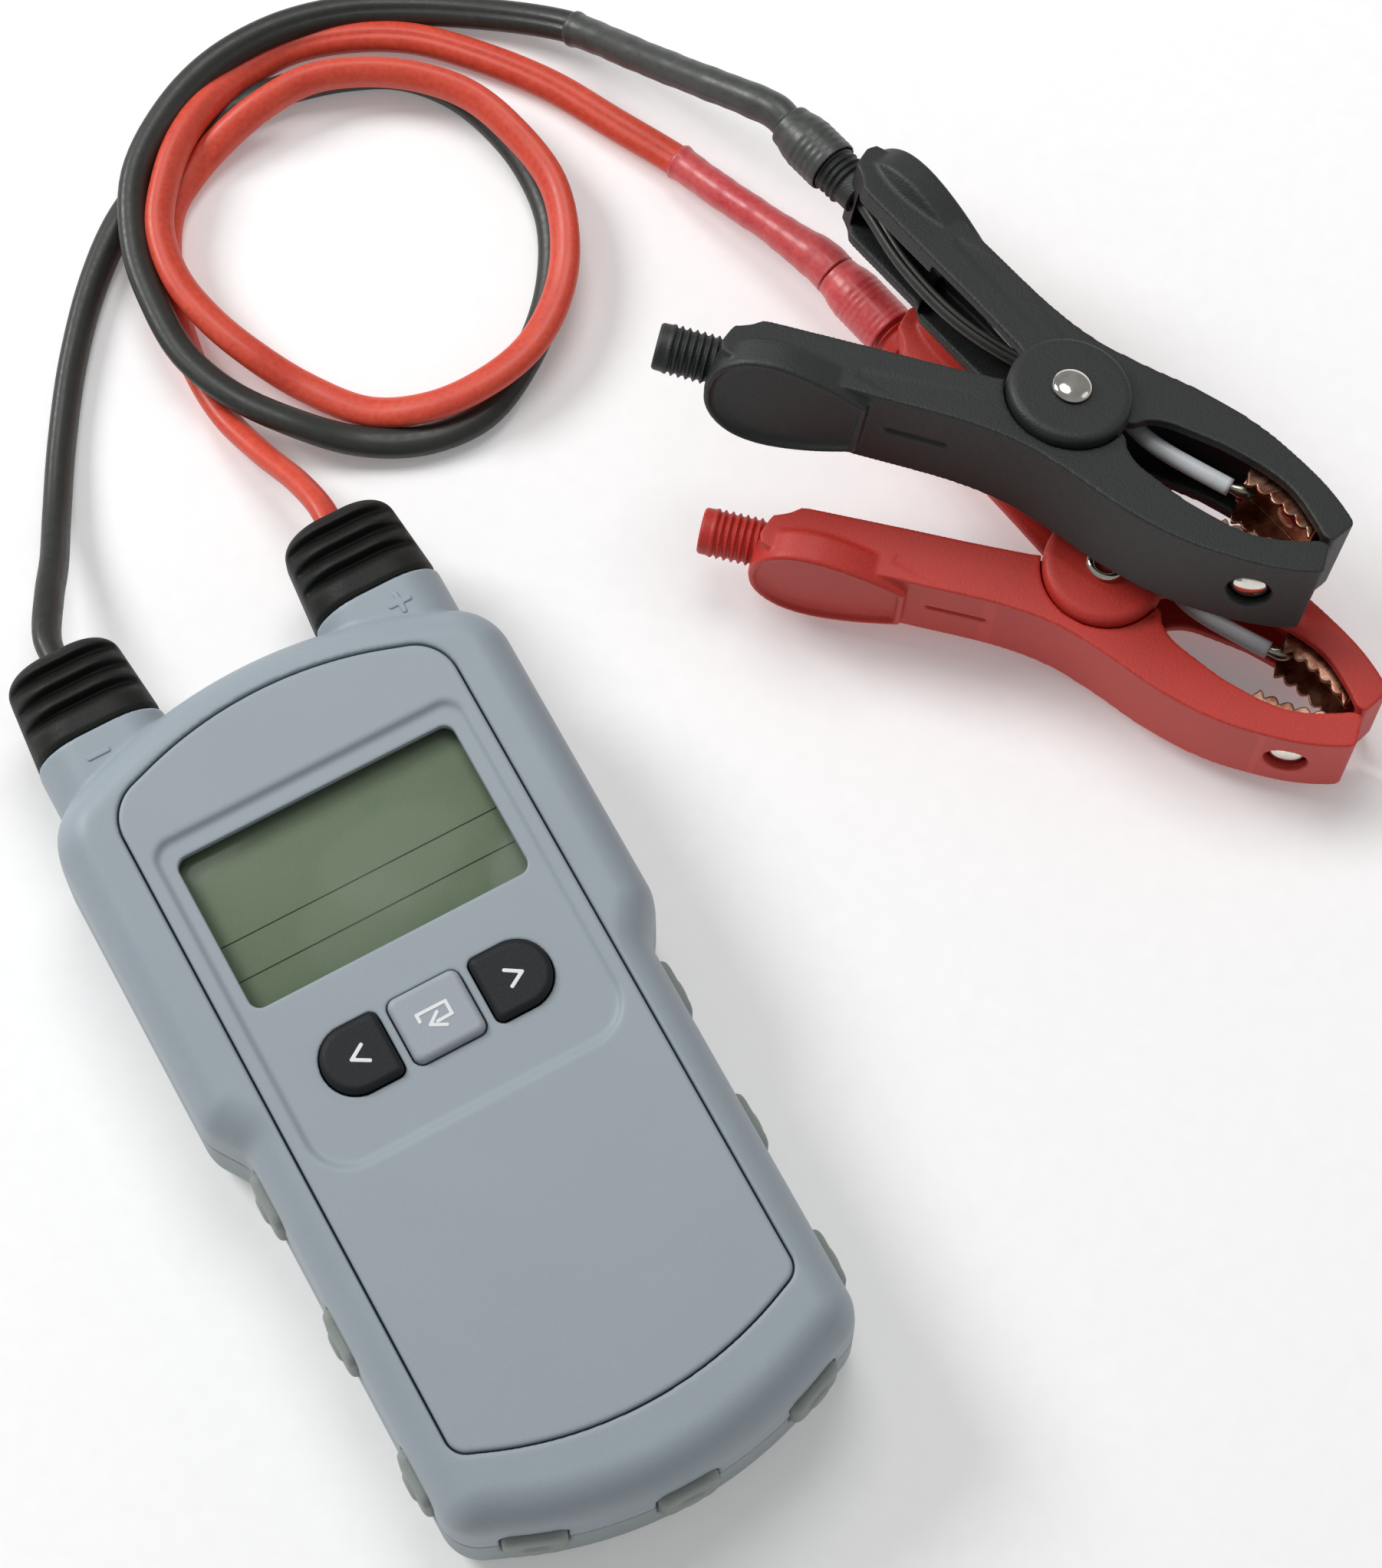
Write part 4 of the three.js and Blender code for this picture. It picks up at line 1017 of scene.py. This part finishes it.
CHANNEL_BACK = [
    (-61.4, -30), (-33, -21.5), (-14.6, -15.8), (-6, -14), (0, -13.5), (10, -14), (20, -15.1), (29, -15.3),
    (38, -14.4), (45, -12.7), (52, -10.5), (57, -8.2), (58.8, -5),
]
THUMB_PAD = [(-16.5, 7.3), (-9, 10.6), (-2, 12.7), (4, 13.4), (9.5, 12.3), (13.6, 9.2), (16, 5), (16.8, 0)]
GRIP_SLOPE = radians(17.3)
GRIP_START_X = -38.0
CONTACT_RIVET = (51.0, -12.0)
CONTACT_TURN = radians(20)
INNER_HALF_WIDTH = LEVER_HALF_THICKNESS - LEVER_SIDE_WALL
GRIP_CHANNEL = GRIP_HALF_THICKNESS - LEVER_SIDE_WALL
EAR_OUTER = INNER_HALF_WIDTH - GAP
FLIP = Matrix.Diagonal((1, -1, 1, 1))


def flowing(points):
    """A smooth run of 2-D points through the given ones."""
    curve = spline([(x, y, 0) for x, y in points], 5)
    return [(p.x, p.y) for p in curve]


def along_grip(obj, slope, base):
    """Lays a solid made along +X onto the grip, pointing away from the pivot."""
    return placed(obj, at(*base, 0, pi + slope))


def grip_pad():
    """The oval thumb plate, with a rounded rim round a dished face."""
    upper = flowing(THUMB_PAD)
    outline = [(x, -y) for x, y in upper] + upper[-2::-1]
    plate = stack(outline, [(-6.2, 3.0), (-4.5, 0.3), (-4.2, 0.0), (1.2, 0.0), (1.8, 0.15), (2.2, 0.6)])
    dish = stack(outline, [(0.7, 3.6), (0.8, 2.4), (1.2, 1.7), (1.7, 1.4), (3.0, 1.1)])
    pad = placed(cut(plate, dish), Matrix.Rotation(-pi / 2, 4, "X"))
    return along_grip(pad, GRIP_SLOPE, (-48.6, -29.0))


def nozzle():
    """The barbed spout that takes the lead or, on the moving lever, is left bare."""
    core, crest = 4.55, 5.3
    profile = [(3, -2.5), (core, -2.5), (core, 0.9)]
    for ridge in range(NOZZLE_RIDGES):
        start = 1.0 + ridge * RIDGE_PITCH
        profile += [(core, start), (crest, start + 0.55), (crest, start + 0.7), (core, start + 1.15)]
    profile += [
        (core, 10.3), (5.15, 10.5), (5.2, 11.0), (4.95, 11.4), (4.9, 13.2), (4.5, 13.7), (3, 13.7), (3, -2.5),
    ]
    turned = placed(lathe(profile, 64), LAID_ALONG_X)
    return moulded(along_grip(turned, NOZZLE_SLOPE, NOZZLE_BASE), cell=0.2, rounds=2)


def channel(half_width, x0, x1):
    """A cutter for the lever's open inside, from x0 to x1."""
    outline = flowing(CHANNEL_BACK) + [(58.8, 15), (-61.4, 15)]
    tool = prism(outline, -half_width, half_width)
    return cut(tool, block(-80, x0, -40, 20, -20, 20), block(x1, 80, -40, 20, -20, 20))


def slab_cut(sign):
    """Takes the grip down to its narrower thickness, with a short slope at its front."""
    top_x = GRIP_START_X + 0.2
    outline = [(-90, 8), (GRIP_START_X - 1.6, 8), (top_x, 10.9), (top_x, 16), (-90, 16)]
    stand = Matrix(((1, 0, 0, 0), (0, 0, 1, -60), (0, sign, 0, 0), (0, 0, 0, 1)))
    return placed(prism(outline, 0, 70), stand)


def lever_blank():
    outline = flowing(LEVER_BACK) + LEVER_TIP + flowing(LEVER_FRONT) + LEVER_END
    body = prism(outline, -LEVER_HALF_THICKNESS, LEVER_HALF_THICKNESS)
    body = joined(cut(body, slab_cut(1), slab_cut(-1)), grip_pad())
    bore = placed(disc(3, -6, 8, 40), LAID_ALONG_X)
    slit = placed(block(-6.6, 6.6, -0.9, 1.0, -0.1, 1.0), about_z(GRIP_SLOPE))
    placed(slit, at(-22.6, -20.9))
    return cut(body, along_grip(bore, NOZZLE_SLOPE, NOZZLE_BASE), slit)


def contact_bore(radius, sides):
    """A cutter along the contact rivet's axis."""
    hole = placed(disc(radius, -6, 6, sides), LAID_ALONG_Y)
    return placed(hole, at(*CONTACT_RIVET, 0, CONTACT_TURN))


def lever_bores():
    return disc(RIVET_BORE_RADIUS, -20, 20, 40), contact_bore(4.6, 48)


def both_sides(z0, z1, make):
    return [make(z0, z1), make(-z1, -z0)]


def moving_lever():
    blank = joined(lever_blank(), disc(EAR_RADIUS, -EAR_OUTER, EAR_OUTER))
    clearance = both_sides(EAR_OUTER, 20, lambda z0, z1: disc(PIVOT_RADIUS + GAP, z0, z1))
    return cut(
        blank, channel(GRIP_CHANNEL, -70, GRIP_START_X), channel(INNER_HALF_WIDTH, GRIP_START_X - 1, -22),
        channel(4.8, -23, 23), channel(INNER_HALF_WIDTH, 22, 70), *lever_bores(), *clearance,
    )


def fixed_lever():
    hollow = [channel(GRIP_CHANNEL, -70, GRIP_START_X), channel(INNER_HALF_WIDTH, GRIP_START_X - 1, 70)]
    rounded = [(INNER_HALF_WIDTH, 0), (11.9, 0), (12.7, 0.3), (13.15, 0.85), (13.3, 1.5)]
    ring = circle(PIVOT_RADIUS, 96)
    discs = [stack(ring, rounded), stack(ring, [(-z, shrink) for z, shrink in reversed(rounded)])]
    lever = joined(cut(lever_blank(), *hollow), *discs)
    return placed(cut(lever, *lever_bores()), FLIP)


def rivet_profile(hollow):
    """The pivot rivet: a domed head or a rolled eyelet on top, and a dimpled tail underneath."""
    face = PIVOT_HALF_THICKNESS + GAP
    if hollow:
        rim = [
            (4.0, 0), (4.3, 0.4), (4.2, 0.9), (3.8, 1.3), (3.3, 1.4), (2.8, 1.1), (2.5, 0.5), (2.4, -1.6),
            (0, -1.6),
        ]
        top = [(2.2, face)] + [(radius, face + rise) for radius, rise in rim]
    else:
        top = [(2.2, face), (4.0, face)] + dome(4.2, face + 0.25, 1.5) + [(0, face + 1.75)]
    tail = [(0, 0.7), (1.4, 0.62), (1.9, 1.1), (3.0, 1.2), (4.0, 0.7), (4.2, 0.3), (4.1, 0), (2.2, 0)]
    return [(radius, -face - drop) for radius, drop in tail] + top


def jaw_contact():
    """A bent copper lining: a floor strip along the lever's back and a toothed plate at each edge."""
    outer = flowing([(38.6, -14), (45, -12.3), (51.8, -10.1), (56.6, -7.7)])
    inner = flowing([(56.6, -6.6), (51.4, -9), (45, -11.2), (38.6, -12.9)])
    teeth = []
    steps, tooth_count, tooth_height = 72, 5, 1.5
    for i in range(steps + 1):
        share = i / steps
        crest = -5 + 4.1 * share**2
        rise = tooth_height * abs(cos(pi * tooth_count * share)) ** 0.7
        teeth.append((40 + 16.4 * share, crest - tooth_height + rise))
    side = flowing([(38.6, -13.6), (45, -12.2), (51.6, -10), (56.5, -7.4)]) + teeth[::-1] + [(38.8, -8)]
    half_width = INNER_HALF_WIDTH - 0.9
    strip = prism(outer + inner, -half_width, half_width)
    plates = both_sides(half_width - 0.95, half_width, lambda z0, z1: prism(side, z0, z1))
    lobe = placed(disc(3.4, -0.5, 0.5, 40), LAID_ALONG_X)
    placed(lobe, at(39.3, -9.6))
    return cut(joined(strip, *plates, lobe), contact_bore(1.9, 32))


def contact_rivet():
    tail = [(0, -3.4), (2.4, -3.1), (2.6, -2.6), (1.5, -2.6), (1.5, 0), (3.8, 0)]
    turned = placed(lathe(tail + dome(3.9, 0.3, 1.3) + [(0, 1.6)], 40), LAID_ALONG_Y)
    x, y = CONTACT_RIVET
    return placed(turned, at(x - 0.35, y + 1, 0, CONTACT_TURN))


def spring_coil():
    """A torsion spring round the rivet, with a leg along each lever."""
    radius, top_z, turns, count = 5.4, 3.2, 2.6, 62
    points = [(-25, -17.6, top_z), (-12, -12.2, top_z)]
    for i in range(count + 1):
        angle = radians(-100) + TAU * turns * i / count
        z = top_z - 2 * top_z * i / count
        points.append((radius * cos(angle), radius * sin(angle), z))
    points += [(-12, 12.2, -top_z), (-25, 17.6, -top_z)]
    return wire(points, 0.85, 14, 3)


def nozzle_sleeve(start):
    """A shrink sleeve drawn down over the nozzle's end, faintly printed by the ridges underneath."""
    profile = [(5.5, start), (5.8, start), (6.0, start + 0.25)]
    for i in range(17):
        reach = start + 0.5 + (14 - start) * i / 16
        profile.append((6.0 + 0.07 * cos(TAU * reach / RIDGE_PITCH), reach))
    profile += [(5.8, 15.4), (5.72, 16.3), (5.4, 17.5), (5.05, 18.6), (4.95, 19.6), (4.8, SLEEVE_END)]
    profile += [(3.2, SLEEVE_END), (3.2, 14), (5.5, 14), (5.5, start)]
    turned = placed(lathe(profile, 56), LAID_ALONG_X)
    return placed(along_grip(turned, NOZZLE_SLOPE, NOZZLE_BASE), FLIP)


CHANNEL_WIRE = [
    (-70, 30, 0), (-60, 25.4, -0.2), (-46, 17.2, -0.6), (-31, 11.6, -0.6), (-16, 9.4, 0.2), (0, 10.2, 1.1),
    (8.4, 9.6, 1.4),
]
WIRE_SLEEVE = [(9, 9.5, 1.4), (13, 8, 1.9), (17.4, 6.2, 2.5), (22, 5.4, 2.8), (29, 5.2, 3), (37, 5.4, 3)]
SENSE_WIRE = [(24, -11, -3), (29, -11.6, -3), (34, -11.2, -3), (38.2, -10.4, -3)]
SOLDER_DROP = [(36.8, 5.4, 3), (38.6, 5.9, 2.9), (40.4, 6.8, 2.6), (41.8, 8.2, 2.2)]


def cored_radius(share, angle):
    """The channel wire's two cores, side by side."""
    return 1.65 - 0.75 * exp(-(sin(angle) / 0.3) ** 2)


def drop_radius(share, angle):
    return 1.05 + 0.5 * sin(pi * share) ** 2


def make_clamp(colour, plastic_material, jacket_material, shrink_material):
    place = CLAMPS[colour]
    prefix = colour + "_clamp_"
    jaw = prefix + "jaw"

    def finished(obj, name, material, body="tester"):
        node = prefix + name
        return shown(placed(obj, place), node + "_shape", material, [node], body)

    def plated(obj, name, body="tester"):
        flatten_edges(finished(obj, name, BRIGHT_PLATE, body))

    fixed = gathered(moulded(fixed_lever(), cell=0.36, rounds=6), placed(nozzle(), FLIP))
    moving = gathered(moulded(moving_lever(), cell=0.36, rounds=6), nozzle())
    finished(fixed, "fixed_lever", plastic_material)
    finished(moving, "moving_lever", plastic_material, jaw)
    hollow = colour == "red"
    plated(lathe(rivet_profile(hollow), 56), "pivot_rivet")
    if hollow:
        core = placed(disc(2.38, 0, 0.7, 48), at(0, 0, PIVOT_HALF_THICKNESS + GAP - 1.5))
        shown(placed(core, place), prefix + "eyelet_core", plastic_material, ())
    lower = moulded(jaw_contact(), cell=0.17, rounds=2)
    finished(lower, "moving_contact", COPPER, jaw)
    upper = placed(moulded(jaw_contact(), cell=0.17, rounds=2), FLIP)
    finished(upper, "fixed_contact", COPPER)
    plated(contact_rivet(), "moving_contact_rivet", jaw)
    plated(placed(contact_rivet(), FLIP), "fixed_contact_rivet")
    cores = sweep(spline(CHANNEL_WIRE, 10), cored_radius, 36)
    finished(cores, "channel_wire", jacket_material)
    finished(wire(WIRE_SLEEVE, 1.9, 28, 10), "wire_sleeve", WHITE_SLEEVE)
    finished(wire(SENSE_WIRE, 1.2, 20, 8), "sense_wire", WHITE_SLEEVE, jaw)
    drop = moulded(sweep(spline(SOLDER_DROP, 6), drop_radius, 16), cell=0.15, rounds=2)
    shown(placed(drop, place), prefix + "solder", SOLDER, ())
    cover = moulded(nozzle_sleeve(SLEEVE_START[colour]), cell=0.26, rounds=2)
    finished(cover, "nozzle_sleeve", shrink_material)
    spring = shown(placed(spring_coil(), place), prefix + "spring_wire", SPRING_STEEL, (), None)
    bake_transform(spring)
    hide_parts(prefix + "spring")


# ---- CAD pieces that keep their own shape ----
def dress_inner_pieces():
    black_part = plastic("component body", (34, 34, 36), 0.45, 0.0004, 0.3, 0.08, 0.05)
    inner = {
        "lcd_frame": black_part,
        "processor_chip": black_part,
        "circuit_board": circuit_board(),
        "keypad_mat": BUMPER_GREY,
        "load_resistor": plastic("resistor ceramic", (206, 202, 190), 0.7, 0.0006, 0.5, 0.08, 0.05),
        "storage_capacitor": metal("capacitor can", (196, 198, 200), 0.35),
        "black_lead_tail": BLACK_JACKET,
        "red_lead_tail": RED_JACKET,
    }
    for node, material in inner.items():
        dress(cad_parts[node], material)


make_studio(*make_camera())
make_lead("black", BLACK_ROUTE, BLACK_TWIST, BLACK_SHRINK_ROUTE, BLACK_JACKET, BLACK_SHRINK, 3.7, 0.2)
make_lead("red", RED_ROUTE, RED_TWIST, RED_SHRINK_ROUTE, RED_JACKET, RED_SHRINK, 3.8, 1.3)
make_rear_case()
make_front_case()
make_polarity_marks()
make_face_panel()
make_keys()
make_display()
make_bumpers()
make_boots()
make_case_screws()
make_clamp("black", BLACK_CLAMP, BLACK_JACKET, BLACK_SHRINK)
make_clamp("red", RED_CLAMP, RED_JACKET, RED_SHRINK)
dress_inner_pieces()
